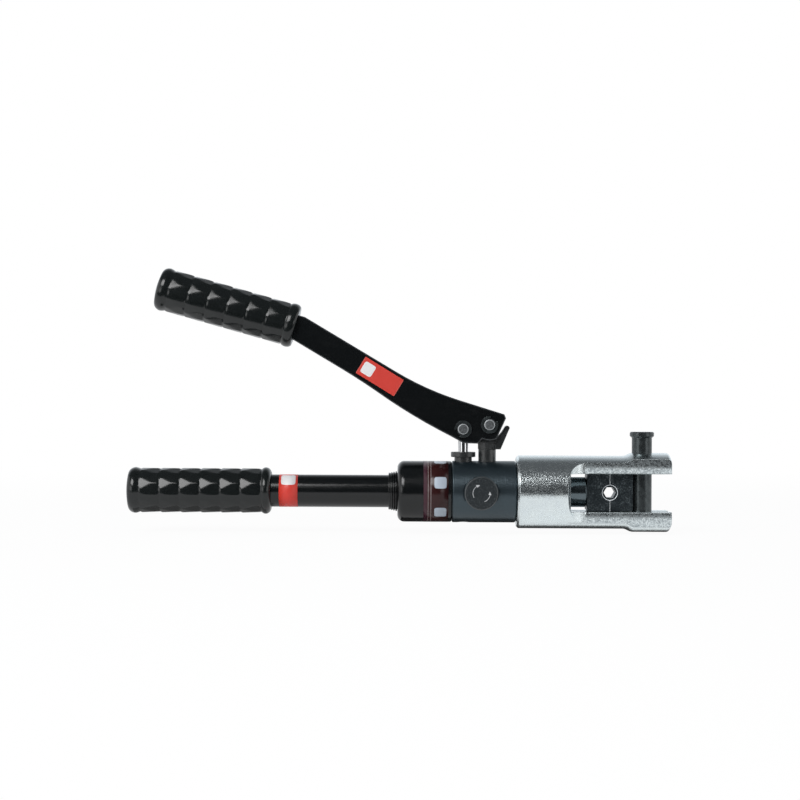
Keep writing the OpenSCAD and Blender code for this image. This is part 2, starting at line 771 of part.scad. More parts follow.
// Outline of the arm that stops the lever: its foot on the collar, its tip, and the places of its
// upper edge, measured from the fulcrum pin
stop_foot_l = 5.2;
stop_reach = 17.9;
stop_tip_r = 2.1;
stop_tip_drop = 2.8;
stop_mid_x = 11;
stop_mid_drop = 6.4;
stop_root_x = 6.2;
stop_root_drop = 12.2;

// Fulcrum post: stud, stem, hexagonal collar, eye and the arm that stops the lever
module fulcrum_post() {
  waist = post_eye_d / 2 - 0.6;
  collar_chamfer = 2.4;
  tongue = [
    [post_x - waist, post_collar_top - 1], [post_x + waist, post_collar_top - 1],
    [fulcrum_x + post_eye_d / 2, fulcrum_z], [fulcrum_x - post_eye_d / 2, fulcrum_z]
  ];
  foot = [post_x + waist - 1, post_collar_low + 0.3];
  stop = concat(
    [foot, foot + [stop_foot_l, 0]],
    arc([fulcrum_x + stop_reach - stop_tip_r, fulcrum_z - stop_tip_drop], stop_tip_r, 0, 150, 6),
    [[fulcrum_x + stop_mid_x, fulcrum_z - stop_mid_drop],
      [fulcrum_x + stop_root_x, fulcrum_z - stop_root_drop], [foot[0], post_collar_top + 2]]
  );
  color([0.13, 0.13, 0.14])
    difference() {
      union() {
        rod_z(post_x, post_stud_z, body_top + eps, post_stud_d);
        rod_z(post_x, body_top, post_collar_low + eps, post_d);
        intersection() {
          translate([post_x, 0, post_collar_low])
            rotate(hex_collar_turn)
              cylinder(h = collar_h, d = collar_af / cos(30), $fn = 6);
          turned_up(post_x, rod_profile(post_collar_low - 1, post_collar_top + 1,
            collar_af / cos(30) + 1, collar_chamfer, collar_chamfer));
        }
        plate(tongue, post_eye_t);
        rod_y(fulcrum_x, fulcrum_z, -post_eye_t / 2, post_eye_t / 2, post_eye_d);
        plate(stop, stop_t);
      }
      rod_y(fulcrum_x, fulcrum_z, -post_eye_t, post_eye_t, pin_d + 2 * turn_fit);
    }
}

// The lever's outline, in its own places from the fulcrum pin as [x, z]
pump_run = [-cos(slope_pump), sin(slope_pump)];
pump_up = [sin(slope_pump), cos(slope_pump)];
arm_run = [-cos(slope_arm), sin(slope_arm)];
arm_up = [sin(slope_arm), cos(slope_arm)];
nose_l = 9.6;
bend_start = 31.2;
lever_nose_r = 10.67;
notch_r = 13.7;
depth_start = 17;
depth_end = 135;
bend_l = lever_bend_r * (slope_arm - slope_pump) * PI / 180;
bend_foot = lever_back * pump_up + bend_start * pump_run;
bend_centre = bend_foot + lever_bend_r * pump_up;
bend_end = bend_centre - lever_bend_r * arm_up;

// Slope of the lever's back at distance s along it, and the place there at a given depth
function back_slope(s) =
  s < bend_start ? slope_pump :
  s > bend_start + bend_l ? slope_arm :
  slope_pump + (slope_arm - slope_pump) * (s - bend_start) / bend_l;
function back_at(s, depth) =
  let (up = [sin(back_slope(s)), cos(back_slope(s))])
  (s < bend_start ? lever_back * pump_up + s * pump_run :
   s > bend_start + bend_l ? bend_end + (s - bend_start - bend_l) * arm_run :
   bend_centre - lever_bend_r * up) - depth * up;
function lever_depth(s) =
  let (u = min(1, max(0, (s - depth_start) / (depth_end - depth_start))))
  lever_depth_grip + (lever_depth_pump - lever_depth_grip) * pow(1 - u, 2);

lever_end = bend_start + bend_l + lever_arm_l;
stations = concat([for (i = [0:6]) bend_start + bend_l * i / 6], [lever_end]);
belly = [for (i = [10:-1:0]) depth_start + (depth_end - depth_start) * i / 10];

// Where the lever's grip begins, and its axis
mouth_step = 2.9;
grip_mouth = back_at(lever_end + mouth_step, lever_depth_grip / 2);
grip_side = [sin(slope_grip), cos(slope_grip)];
tang_half = 10;
tang_low = 11.8;
lip_l = 20;
tang_end = grip_mouth + lever_tang_l * grip_axis;

// End of the lever's nose, and the notch over the collar of the post
nose_slope = 24.3;
function nose_at(height) =
  let (n = [cos(nose_slope), -sin(nose_slope)])
  lever_nose_r * n + height * [sin(nose_slope), cos(nose_slope)];
nose_low = -sqrt(pow(notch_r, 2) - pow(lever_nose_r, 2));
nose_high = 11.2;
heel_s = 4.5;
heel_depth = 31.3;

// The web's underside is the same line, one plate deeper
function back_line(depth) = concat(
  [back_at(-nose_l - (depth > 0 ? 2 * nose_l : 0), depth)],
  [for (s = stations) back_at(s, depth)],
  [grip_mouth + (tang_half - depth) * grip_side, tang_end + (tang_half - depth) * grip_side]
);

function placed(points) = [for (p = points) p + [fulcrum_x, fulcrum_z]];

lever_outline = concat(
  back_line(0),
  [tang_end - tang_half * grip_side, grip_mouth + lip_l * grip_axis - tang_half * grip_side,
    back_at(lever_end, lever_depth_grip)],
  [for (s = belly) back_at(s, lever_depth(s))],
  [back_at(heel_s, heel_depth)],
  arc([0, 0], notch_r, -118, atan2(nose_at(nose_low)[1], nose_at(nose_low)[0]), 6),
  [nose_at(nose_high)]
);
void_l = 2.6 * lever_depth_pump;
lever_inside = concat(
  back_line(lever_plate),
  [tang_end - void_l * grip_side, [0, -void_l], [void_l, -void_l], [void_l, 0]]
);

module lever() {
  color([0.07, 0.08, 0.08])
    difference() {
      plate(placed(lever_outline), lever_w);
      plate(placed(lever_inside), lever_gap);
      rod_y(fulcrum_x, fulcrum_z, -lever_w, lever_w, pin_d + 2 * seat_fit);
      rod_y(crank_x, crank_z, -lever_w, lever_w, pin_d + 2 * seat_fit);
    }
}

// A headless pin across the lever, with a groove near each end for its clip
pin_half = lever_w / 2 + pin_out;
clip_t = 1;
clip_y = lever_w / 2 + 0.2;
clip_groove_d = pin_d - 2;
clip_turn = 35;
module cross_pin(x, z) {
  edge = 0.6;
  turned_front(x, z, [
    [-pin_half, 0], [-pin_half, pin_d / 2 - edge], [edge - pin_half, pin_d / 2],
    [-clip_y - clip_t, pin_d / 2], [-clip_y - clip_t, clip_groove_d / 2],
    [-clip_y, clip_groove_d / 2], [-clip_y, pin_d / 2],
    [clip_y, pin_d / 2], [clip_y, clip_groove_d / 2],
    [clip_y + clip_t, clip_groove_d / 2], [clip_y + clip_t, pin_d / 2],
    [pin_half - edge, pin_d / 2], [pin_half, pin_d / 2 - edge], [pin_half, 0]
  ]);
}

module fulcrum_pin() {
  color("gray") cross_pin(fulcrum_x, fulcrum_z);
}

module plunger_pin() {
  color("gray") cross_pin(crank_x, crank_z);
}

// Four open clips, two on each pin
module pin_clips() {
  color([0.1, 0.1, 0.1])
    for (place = [[fulcrum_x, fulcrum_z, clip_turn], [crank_x, crank_z, clip_turn + 200]], side = [-1, 1])
      translate([place[0], side * (clip_y + clip_t / 2), place[1]])
        rotate([90, place[2], 0])
          linear_extrude(clip_t - 0.1, center = true)
            difference() {
              circle(d = clip_d);
              circle(d = clip_groove_d + 0.1);
              translate([-clip_groove_d / 2 + 0.4, 0])
                square([clip_groove_d - 0.8, clip_d]);
            }
}

// Release knob on the near side of the pump body
module release_knob() {
  face_y = knob_y + knob_h;
  color([0.2, 0.23, 0.26])
    difference() {
      turned_front(knob_x, 0, rod_profile(knob_y, face_y, knob_d, 0.5, knob_chamfer));
      rod_y(knob_x, 0, -face_y + 3, 0, release_d + 2 * seat_fit);
      rod_z(knob_x, 0, knob_d, knob_screw_d + 2 * seat_fit, y = -knob_screw_y);
    }
}

knob_screw_d = 3;
knob_screw_y = knob_y + knob_h - 5;

module release_screw() {
  color("gray")
    difference() {
      turned_front(knob_x, 0, [
        [release_tip - 0.8 + seat_fit, 0], [release_tip + 3, 3.6], [release_tip + 6.5, 3.6],
        [release_tip + 7, release_d / 2], [knob_y + knob_h - 3 - seat_fit, release_d / 2],
        [knob_y + knob_h - 3 - seat_fit, 0]
      ]);
      turned_front(knob_x, 0,
        ring_profile(release_seal_y, release_seal_y + 2, release_d - 3, release_d + 1));
      turned_front(knob_x, 0,
        ring_profile(knob_screw_y - 1.8, knob_screw_y + 1.8, release_d - 1, release_d + 1));
    }
}

release_seal_y = body_top - 5;

module release_seal() {
  color("black")
    turned_front(knob_x, 0,
      ring_profile(release_seal_y, release_seal_y + 2, release_d - 3, release_d));
}

module knob_set_screw() {
  color("dimgray")
    difference() {
      rod_z(knob_x, release_d / 2 - 0.5, knob_d / 2 - 0.5, knob_screw_d, y = -knob_screw_y);
      translate([knob_x, -knob_screw_y, knob_d / 2 - 2])
        cylinder(h = 3, d = 1.7, $fn = 6);
    }
}

// Reservoir shell, screwed on the rear spigot, with the seat of the handle tube at its back
module reservoir_shell() {
  inner_x = shell_rear_x + 5;
  seat_r = tube_d / 2 + seat_fit;
  color([0.07, 0.07, 0.08])
    turned(concat(
      [[shell_rear_x, seat_r]],
      arc([shell_rear_x + shell_round, shell_d / 2 - shell_round], shell_round, 180, 90),
      [[shell_x - 0.8, shell_d / 2], [shell_x, shell_d / 2 - 0.8],
        [shell_x, rear_spigot_d / 2 + seat_fit],
        [body_rear_x - rear_spigot_l, rear_spigot_d / 2 + seat_fit],
        [body_rear_x - rear_spigot_l, shell_bore_r],
        [inner_x, shell_bore_r], [inner_x, seat_r + 3], [tube_front_x + 2, seat_r + 3],
        [tube_front_x + 2, seat_r - tube_wall], [tube_front_x, seat_r - tube_wall],
        [tube_front_x, seat_r]]
    ));
}

module shell_seal() {
  color("black")
    turned(ring_profile(shell_seal_x, shell_seal_x + shell_seal_w, rear_spigot_d - 4, rear_spigot_d));
}

// Rubber bladder that holds the oil, stretched over the boss of the pump body
module oil_bladder() {
  outer_r = boss_d / 2 + bladder_wall;
  lip = 3;
  color([0.15, 0.12, 0.1])
    turned([
      [bladder_front_x, boss_d / 2], [bladder_rear_x + lip, boss_d / 2],
      [bladder_rear_x + bladder_wall, boss_d / 2 - lip + bladder_wall],
      [bladder_rear_x + bladder_wall, filler_d / 2 + seat_fit],
      [bladder_rear_x, filler_d / 2 + seat_fit], [bladder_rear_x, outer_r - lip],
      [bladder_rear_x + lip, outer_r], [bladder_front_x, outer_r]
    ]);
}

filler_d = 7;

module bladder_clamp() {
  inner_d = boss_d + 2 * bladder_wall + 2 * seat_fit;
  color("silver")
    turned(ring_profile(bladder_front_x - 2 - clamp_l, bladder_front_x - 2, inner_d, inner_d + 2 * clamp_t));
}

module filler_plug() {
  color([0.8, 0.65, 0.3])
    turned([
      [bladder_rear_x - 1.6, 0], [bladder_rear_x - 1.6, filler_d / 2 + 2],
      [bladder_rear_x - 0.02, filler_d / 2 + 2], [bladder_rear_x - 0.02, filler_d / 2],
      [bladder_rear_x + 5, filler_d / 2], [bladder_rear_x + 5, 0]
    ]);
}

module suction_strainer() {
  color("silver")
    rod_x(boss_x, boss_x + strainer_h, strainer_d, z = suction_z);
}

module inlet_ball() {
  color("silver")
    translate([plunger_x, 0, inlet_ball_z])
      sphere(d = inlet_ball_d);
}

module inlet_spring() {
  color("silver")
    translate([plunger_x, 0, 0])
      coil(spring_r(pocket_d), valve_wire, inlet_ball_z + on_ball(inlet_ball_d, pocket_d),
        pocket_top - seat_fit, 4);
}

module inlet_plug() {
  low = 1 - body_d / 2;
  color("dimgray")
    difference() {
      rod_z(plunger_x, low, inlet_seat_z, plug_d);
      translate([plunger_x, 0, 0])
        rotate_extrude()
          translate([plug_d / 2 - 1.4, suction_z - oilway_d / 2])
            square([2, oilway_d]);
      rod_y(plunger_x, suction_z, -plug_d, plug_d, inlet_seat_d);
      rod_z(plunger_x, suction_z, 0, inlet_seat_d);
      translate([plunger_x, 0, low - 1])
        cylinder(h = 5, d = plug_d * 0.58, $fn = 6);
    }
}

module outlet_ball() {
  color("silver")
    translate([outlet_seat_x + valve_lift, 0, outlet_z])
      sphere(d = valve_ball_d);
}

module outlet_spring() {
  ball_x = outlet_seat_x + valve_lift;
  color("silver")
    translate([ball_x, 0, outlet_z])
      rotate([0, 90, 0])
        coil(spring_r(valve_bore_d), valve_wire, on_ball(valve_ball_d, valve_bore_d),
          chamber_x - valve_plug_l - ball_x - seat_fit, 6);
}

module outlet_plug() {
  color("dimgray")
    socket_screw_x(chamber_x - valve_plug_l, chamber_x, valve_bore_d, z = outlet_z, bore = valve_seat_d);
}

relief_ball_x = relief_seat_x - valve_lift;

module relief_ball() {
  color("silver")
    translate([relief_ball_x, relief_y, 0])
      sphere(d = valve_ball_d);
}

module relief_spring() {
  color("silver")
    translate([relief_ball_x, relief_y, 0])
      rotate([0, -90, 0])
        coil(spring_r(valve_bore_d), valve_wire, on_ball(valve_ball_d, valve_bore_d),
          relief_ball_x - boss_x - valve_plug_l - seat_fit, 8);
}

module relief_screw() {
  color("dimgray")
    mirror([1, 0, 0])
      socket_screw_x(-boss_x - valve_plug_l, -boss_x, valve_bore_d, y = relief_y, bore = valve_seat_d);
}

// Ribbed collar on the handle tube, beside the reservoir
module handle_collar() {
  ribs = 4;
  rib_l = neck_l / ribs;
  low_r = neck_d / 2 - 1.6;
  function crest(i) = neck_d / 2 - (ribs - 1 - i) * 0.45;
  color([0.08, 0.08, 0.09])
    turned(concat(
      [[neck_x, tube_d / 2]],
      [for (i = [0:ribs - 1], p = [[0, low_r], [0.2, crest(i)], [0.7, crest(i)], [0.9, low_r]])
        [neck_x + (i + p[0]) * rib_l, p[1]]],
      [[shell_rear_x, low_r], [shell_rear_x, tube_d / 2]]
    ));
}

module handle_tube() {
  color([0.07, 0.07, 0.08])
    turned(ring_profile(tube_rear_x, tube_front_x, tube_d - 2 * tube_wall, tube_d));
}

// Profile of a grip, from its mouth at 0 to its closed end: a rolled lip, the bulges and the end
grip_lip_l = 10;
grip_end_bulge = 12.3;
grip_dome = 1.8;
// Round shoulder of the closed end: its half axes, how far in its centre lies, and its soft start
shoulder_axes = [6.3, 5];
shoulder_in = [8.1, 4.7];
shoulder_start = [2.1, 0.2];
function grip_profile(d, mouth_r) =
  let (
    r = d / 2,
    lip_h = r + grip_lip_out - mouth_r,
    first = grip_lip_l - 0.9,
    pitch = (grip_l - grip_end_bulge - first) / grip_bulges,
    shoulder = [grip_l - shoulder_in[0], r - shoulder_in[1]]
  )
  concat(
    [for (t = [180:-15:45]) [grip_lip_l / 2 * (1 + cos(t)), mouth_r + lip_h * sin(t)]],
    [for (i = [0:grip_bulges * 6])
      [first + pitch * i / 6, r - grip_furrow * pow(abs(cos(30 * i)), 3)]],
    [[shoulder[0] - shoulder_start[0], r - shoulder_start[1]]],
    [for (t = [90:-15:0]) shoulder + [shoulder_axes[0] * cos(t), shoulder_axes[1] * sin(t)]],
    [for (i = [3:-1:0]) [grip_l - grip_dome * pow(i / 4, 2), shoulder[1] * i / 4]]
  );

// A solid grip on the X axis, with its mouth at 0 and its closed end at -grip_l
module grip_blank(d, mouth_r) {
  mirror([1, 0, 0])
    turned(concat([[0, 0]], grip_profile(d, mouth_r)));
}

module handle_grip() {
  color([0.06, 0.06, 0.06])
    difference() {
      translate([grip_x, 0, 0])
        grip_blank(grip_d, tube_d / 2 + 0.5);
      rod_x(tube_rear_x, grip_x + 1, tube_d);
    }
}

lever_mouth_r = 16.3;
module lever_grip() {
  color([0.06, 0.06, 0.06])
    translate([fulcrum_x + grip_mouth[0], 0, fulcrum_z + grip_mouth[1]])
      rotate([0, slope_grip, 0])
        difference() {
          grip_blank(lever_grip_d, lever_mouth_r);
          plate([
            [2, tang_half], [2, -tang_low], [0, -tang_low], [-lip_l - 0.5, -tang_half],
            [-lever_tang_l - 0.5, -tang_half], [-lever_tang_l - 0.5, tang_half]
          ], lever_w);
        }
}

fork_head();
fixed_die();
moving_die();
die_set_screw();
ram();
piston_seal();
ram_wiper();
ram_return_spring();
latch_pin();
detent_ball();
detent_spring();
detent_screw();
pump_body();
swivel_ring();
cylinder_seal();
gland_nut();
plunger_seal();
plunger();
fulcrum_post();
lever();
lever_grip();
fulcrum_pin();
plunger_pin();
pin_clips();
release_knob();
release_screw();
release_seal();
knob_set_screw();
reservoir_shell();
shell_seal();
oil_bladder();
bladder_clamp();
filler_plug();
suction_strainer();
inlet_ball();
inlet_spring();
inlet_plug();
outlet_ball();
outlet_spring();
outlet_plug();
relief_ball();
relief_spring();
relief_screw();
handle_collar();
handle_tube();
handle_grip();
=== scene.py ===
"""A hand operated hydraulic crimping tool, dressed and lit for a studio picture.

The tool lies along X with its fork head at +X and its pumping lever at +Z, and the camera stands on
its -Y side. Sizes and places on the tool are in millimetres, and those of the studio in metres.
"""

import math

import bpy
import numpy as np
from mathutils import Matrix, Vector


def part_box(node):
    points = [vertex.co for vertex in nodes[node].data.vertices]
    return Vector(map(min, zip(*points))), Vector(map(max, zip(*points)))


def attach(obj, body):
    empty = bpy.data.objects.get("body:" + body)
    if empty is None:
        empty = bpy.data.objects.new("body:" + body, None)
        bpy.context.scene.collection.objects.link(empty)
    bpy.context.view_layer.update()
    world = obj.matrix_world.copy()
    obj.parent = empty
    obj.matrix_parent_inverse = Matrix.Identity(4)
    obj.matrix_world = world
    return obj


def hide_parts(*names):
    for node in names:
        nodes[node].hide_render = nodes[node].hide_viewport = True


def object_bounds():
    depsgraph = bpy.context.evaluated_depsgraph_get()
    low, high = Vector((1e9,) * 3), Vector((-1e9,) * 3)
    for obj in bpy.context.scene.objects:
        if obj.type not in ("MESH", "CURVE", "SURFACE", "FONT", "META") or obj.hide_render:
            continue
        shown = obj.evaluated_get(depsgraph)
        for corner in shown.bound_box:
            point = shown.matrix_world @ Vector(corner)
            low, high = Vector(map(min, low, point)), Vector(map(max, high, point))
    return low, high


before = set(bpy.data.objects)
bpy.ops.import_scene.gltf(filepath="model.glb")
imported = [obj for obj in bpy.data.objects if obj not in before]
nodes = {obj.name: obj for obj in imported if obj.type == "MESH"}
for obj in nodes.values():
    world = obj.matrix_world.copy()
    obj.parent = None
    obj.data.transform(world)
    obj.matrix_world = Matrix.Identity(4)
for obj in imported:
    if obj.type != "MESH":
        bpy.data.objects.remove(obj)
cad_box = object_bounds()
MM = 0.001


def box_mm(node):
    """A node's lowest and highest corners at rest, in millimetres."""
    low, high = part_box(node)
    return np.array(low) / MM, np.array(high) / MM


# Shader expressions


class Wire:
    """One value in a node tree. Sums, products, remainders and powers of wires add Math nodes."""

    def __init__(self, shading, socket):
        self.shading = shading
        self.socket = socket

    def maths(self, operation, *values):
        return self.shading.node("ShaderNodeMath", {"operation": operation}, dict(enumerate(values)))

    def __add__(self, other):
        return self.maths("ADD", self, other)

    def __sub__(self, other):
        return self.maths("SUBTRACT", self, other)

    def __rsub__(self, other):
        return self.maths("SUBTRACT", other, self)

    def __mul__(self, other):
        return self.maths("MULTIPLY", self, other)

    def __truediv__(self, other):
        return self.maths("DIVIDE", self, other)

    def __mod__(self, other):
        return self.maths("FLOORED_MODULO", self, other)

    def __pow__(self, other):
        return self.maths("POWER", self, other)

    def __abs__(self):
        return self.maths("ABSOLUTE", self)

    __radd__ = __add__
    __rmul__ = __mul__

    def greater(self, other):
        return self.maths("MAXIMUM", self, other)

    def ranged(self, low, high, to_low=0, to_high=1):
        """A smooth step from to_low, up to low, to to_high, from high on."""
        return self.shading.node(
            "ShaderNodeMapRange", {"interpolation_type": "SMOOTHSTEP"},
            {"Value": self, "From Min": low, "From Max": high, "To Min": to_low, "To Max": to_high})

    def over(self, edge, soft):
        """1 above edge and 0 below it, over a smooth step of the given width."""
        return self.ranged(edge - soft / 2, edge + soft / 2)

    def within(self, half, soft):
        """1 nearer to zero than half and 0 further away, over a smooth step of the given width."""
        return 1 - abs(self).over(half, soft)

    def beside(self, output):
        """Another output of the node that this value comes from."""
        return Wire(self.shading, self.socket.node.outputs[output])


def set_stops(ramp, stops):
    """Gives a colour ramp its stops, which are pairs of a position and a colour."""
    while len(ramp.elements) < len(stops):
        ramp.elements.new(0.5)
    for element, (at, colour) in zip(ramp.elements, stops):
        element.position = at
        element.color = (*colour, 1.0)


class Shading:
    """The node tree of a material or of the world. All its nodes come from one method."""

    def __init__(self, owner):
        owner.use_nodes = True
        self.tree = owner.node_tree
        self.tree.nodes.clear()

    def node(self, kind, settings, values, output=0):
        """A node of the given kind, with its settings made first and its sockets after."""
        made = self.tree.nodes.new(kind)
        for name, value in settings.items():
            if name == "stops":
                set_stops(made.color_ramp, value)
            else:
                setattr(made, name, value)
        for name, value in values.items():
            self.feed(made.inputs[name], value)
        return Wire(self, made.outputs[output]) if made.outputs else None

    def feed(self, socket, value):
        if isinstance(value, Wire):
            self.tree.links.new(value.socket, socket)
        else:
            socket.default_value = value

    def object_place(self):
        """A point's place in metres."""
        return self.node("ShaderNodeTexCoord", {}, {}, "Object")

    def parts(self, vector):
        """The three numbers of a vector or colour."""
        first = self.node("ShaderNodeSeparateXYZ", {}, {"Vector": vector})
        return first, first.beside(1), first.beside(2)

    def blend(self, share, low, high):
        """The shader low where share is 0, and high where it is 1."""
        return self.node("ShaderNodeMixShader", {}, {0: share, 1: low, 2: high})

    def seen(self, share, mirrored):
        """The given shares for rays from the camera, and from mirrors and glass, and 0 for light
        that is scattered."""
        camera = self.node("ShaderNodeLightPath", {}, {}, "Is Camera Ray")
        glossy = camera.beside("Is Glossy Ray")
        through = camera.beside("Is Transmission Ray")
        return (camera * share).greater(glossy * mirrored).greater(through * mirrored)


class Finish(Shading):
    """A material: one Principled shader, whose varying sockets are fed by expressions."""

    def __init__(self, name, colour, rough, metal=0.0, **constants):
        self.material = bpy.data.materials.new(name)
        super().__init__(self.material)
        shader = self.node("ShaderNodeBsdfPrincipled", {}, {})
        self.inputs = shader.socket.node.inputs
        self.node("ShaderNodeOutputMaterial", {}, {"Surface": shader})
        self.place = self.object_place()
        self.set("Base Color", (*colour, 1.0))
        self.set("Roughness", rough)
        self.set("Metallic", metal)
        for socket, value in constants.items():
            self.set(socket.replace("_", " "), value)

    def set(self, socket, value):
        self.feed(self.inputs[socket], value)

    def stretched(self, scale):
        """The place times a scale for each axis: a pattern is drawn out where the scale is small."""
        return self.node("ShaderNodeVectorMath", {"operation": "MULTIPLY"}, {0: self.place, 1: scale})

    def coordinates(self):
        """The place's X, Y and Z in millimetres."""
        return self.parts(self.stretched((1 / MM, 1 / MM, 1 / MM)))

    def noise(self, size, detail=2.0, rough=0.5, at=None):
        """Noise from 0 to 1 with grains of about the given size."""
        return self.node("ShaderNodeTexNoise", {},
                         {"Vector": at or self.place, "Scale": 1 / (size * MM), "Detail": detail,
                          "Roughness": rough})

    def grains(self, size):
        """A flat random value from 0 to 1 for each grain of the given size."""
        colour = self.node("ShaderNodeTexVoronoi", {"feature": "F1"},
                           {"Vector": self.place, "Scale": 1 / (size * MM)}, "Color")
        return self.parts(colour)[0]

    def mixed(self, mask, low, high):
        """The colour low where the mask is 0, and high where it is 1."""
        low, high = (v if isinstance(v, Wire) else (*v, 1.0) for v in (low, high))
        return self.node("ShaderNodeMix", {"data_type": "RGBA"}, {0: mask, 6: low, 7: high}, 2)

    def edges(self, radius, samples=6):
        """A normal that rolls over sharp edges, so that they catch light."""
        return self.node("ShaderNodeBevel", {"samples": samples}, {"Radius": radius * MM})

    def relief(self, height, depth, normal=None):
        """Feeds Normal with a bump that is as deep as given for a height of 0 to 1."""
        values = {"Height": height, "Distance": depth * MM, "Strength": 1.0}
        if normal is not None:
            values["Normal"] = normal
        self.set("Normal", self.node("ShaderNodeBump", {}, values))


def distance(across, along):
    """How far a point lies from an axis, from its two coordinates square to it."""
    return (across * across + along * along) ** 0.5


def turn_round_axis(y, z):
    """The angle round the X axis in radians: 0 on the near side, and growing upwards."""
    return z.maths("ARCTAN2", z, y * -1)


# Finishes of the head

# The milled flats, and the line along each prong that their crown is highest on
HEAD_FLAT_Y = 18.4
HEAD_FLATS_FROM_X = -36.0
LOWER_CROWN_Z = 21.0
UPPER_CROWN_RISE = 3.5
CROWN_HALF_W = 6.5
CROWN_FALL = 6.5


def zinc_plate():
    """Bright zinc plate over blasted and turned steel, whose fine grains sparkle in the lamp. The
    milled flats are crowned: they fall away with the square of the distance from a line along each
    prong, so that each shades from dark at its top to light."""
    f = Finish("zinc_plate", (0.74, 0.81, 0.83), rough=0.24, metal=1.0)
    x, y, z = f.coordinates()
    flats = (abs(y) - HEAD_FLAT_Y).within(0.2, 0.2) * x.over(HEAD_FLATS_FROM_X, 8)
    cloud = f.noise(9, detail=3)
    grain = f.grains(1.15)
    plate = f.mixed(cloud.ranged(0.3, 0.7), (0.8, 0.87, 0.89), (0.84, 0.91, 0.92))
    f.set("Base Color", f.mixed(flats * grain, plate, (0.42, 0.47, 0.49)))
    f.set("Roughness", 0.16 + 0.04 * cloud + grain * (0.115 + 0.16 * flats))
    out = (abs(z) - LOWER_CROWN_Z - z.over(0, 1) * UPPER_CROWN_RISE) / CROWN_HALF_W
    blasted = f.noise(1.0, detail=3, rough=0.7, at=f.stretched((1, 0.35, 0.35)))
    f.relief(blasted * (1 - 0.5 * flats) - flats * (out * out) * CROWN_FALL, 0.13, f.edges(0.5))
    return f.material


# The dies' faces, the bare rim of the nest and the bare line where the dies meet
DIE_FACE_Y = 9.6
NEST_RIM_R = 6.1
NEST_RIM_HALF_W = 0.8
PARTING_HALF_W = 0.35


def die_steel():
    """Blued tool steel, finely mottled, bare on the rim of the nest and along the parting line."""
    f = Finish("die_steel", (0.02, 0.026, 0.034), rough=0.38, metal=0.55)
    x, y, z = f.coordinates()
    r = distance(x, z)
    mottle = f.noise(1.1, detail=4, rough=0.75)
    stain = f.noise(7, detail=3).ranged(0.4, 0.7)
    face = abs(y).over(DIE_FACE_Y, 0.2)
    rim = face * (r - NEST_RIM_R).within(NEST_RIM_HALF_W, 0.25)
    parting = face * x.within(PARTING_HALF_W, 0.2) * r.over(NEST_RIM_R + 0.4, 0.3)
    bare = rim + parting * mottle.ranged(0.3, 0.6, 0.2, 0.7)
    tone = mottle.ranged(0.46, 0.7) * (0.4 + 0.9 * stain)
    blued = f.mixed(tone, (0.01, 0.016, 0.02), (0.16, 0.19, 0.2))
    f.set("Base Color", f.mixed(bare, blued, (0.9, 0.93, 0.95)))
    f.set("Metallic", 0.5 - 0.45 * rim)
    f.set("Roughness", 0.34 + 0.1 * stain - 0.16 * rim)
    f.relief(mottle, 0.02, f.edges(0.3))
    return f.material


def ram_steel():
    """Hardened ram, ground round, with fine rings round the tool's axis."""
    f = Finish("ram_steel", (0.1, 0.13, 0.15), rough=0.2, metal=1.0)
    rings = f.noise(0.35, at=f.stretched((1.0, 0.03, 0.03)))
    f.set("Base Color", f.mixed(rings, (0.1, 0.125, 0.14), (0.16, 0.195, 0.21)))
    f.set("Roughness", 0.16 + 0.12 * rings)
    f.relief(rings, 0.005, f.edges(0.5))
    return f.material


def black_oxide():
    """Oiled black oxide on machined steel, in blots of which some are lighter."""
    dark = (0.058, 0.067, 0.069)
    f = Finish("black_oxide", dark, rough=0.24, metal=0.7)
    blot = f.noise(5, detail=4)
    f.set("Base Color", f.mixed(blot.ranged(0.35, 0.7), dark, tuple(c * 1.5 for c in dark)))
    f.set("Roughness", 0.17 + 0.12 * blot)
    f.relief(f.noise(0.6, detail=3), 0.008, f.edges(0.35))
    return f.material


# Finishes of the pump


def cast_black():
    """Black paint over a rough forging."""
    f = Finish("cast_black", (0.022, 0.023, 0.024), rough=0.5, Specular_IOR_Level=0.95)
    lumps = f.noise(1.4, detail=4, rough=0.6)
    shade = f.mixed(lumps.ranged(0.4, 0.75), (0.006, 0.0075, 0.008), (0.024, 0.028, 0.03))
    f.set("Base Color", shade)
    f.set("Roughness", 0.26 + 0.16 * lumps)
    f.relief(lumps, 0.12, f.edges(0.5))
    return f.material


def slate_paint():
    """Satin slate-blue enamel over fine turning lines, which widen the lamp along the tool."""
    f = Finish("slate_paint", (0.008, 0.013, 0.017), rough=0.33,
               Specular_IOR_Level=1.0, Specular_Tint=(0.8, 1.0, 1.12, 1))
    lines = f.noise(0.9, detail=3, rough=0.6, at=f.stretched((1, 0.06, 0.06)))
    tone = f.noise(22, detail=3)
    f.set("Base Color", f.mixed(tone.ranged(0.3, 0.7), (0.006, 0.011, 0.014), (0.01, 0.016, 0.02)))
    f.set("Roughness", 0.3 + 0.07 * tone)
    f.relief(lines, 0.12, f.edges(0.4))
    return f.material


def knob_paint(middle, line_r):
    """The knob's darker, mottled face, with a painted highlight round its middle at line_r: a thin
    light line that stands for the lamp on its chamfered edge.
    """
    f = Finish("knob_finish", (0.008, 0.012, 0.015), rough=0.4)
    x, y, z = f.coordinates()
    # Painted highlight: a thin light ring in the base colour, standing for the chamfered edge catching
    # light.
    painted_edge_highlight = (distance(x - middle[0], z - middle[1]) - line_r).within(0.4, 0.3)
    mottle = f.noise(1.3, detail=3, rough=0.65)
    shade = f.mixed(mottle.ranged(0.45, 0.75), (0.013, 0.018, 0.021), (0.055, 0.062, 0.066))
    f.set("Base Color", f.mixed(painted_edge_highlight * 0.6, shade, (0.08, 0.087, 0.09)))
    f.set("Roughness", 0.3 + 0.15 * mottle)
    f.relief(mottle, 0.02, f.edges(0.4))
    return f.material


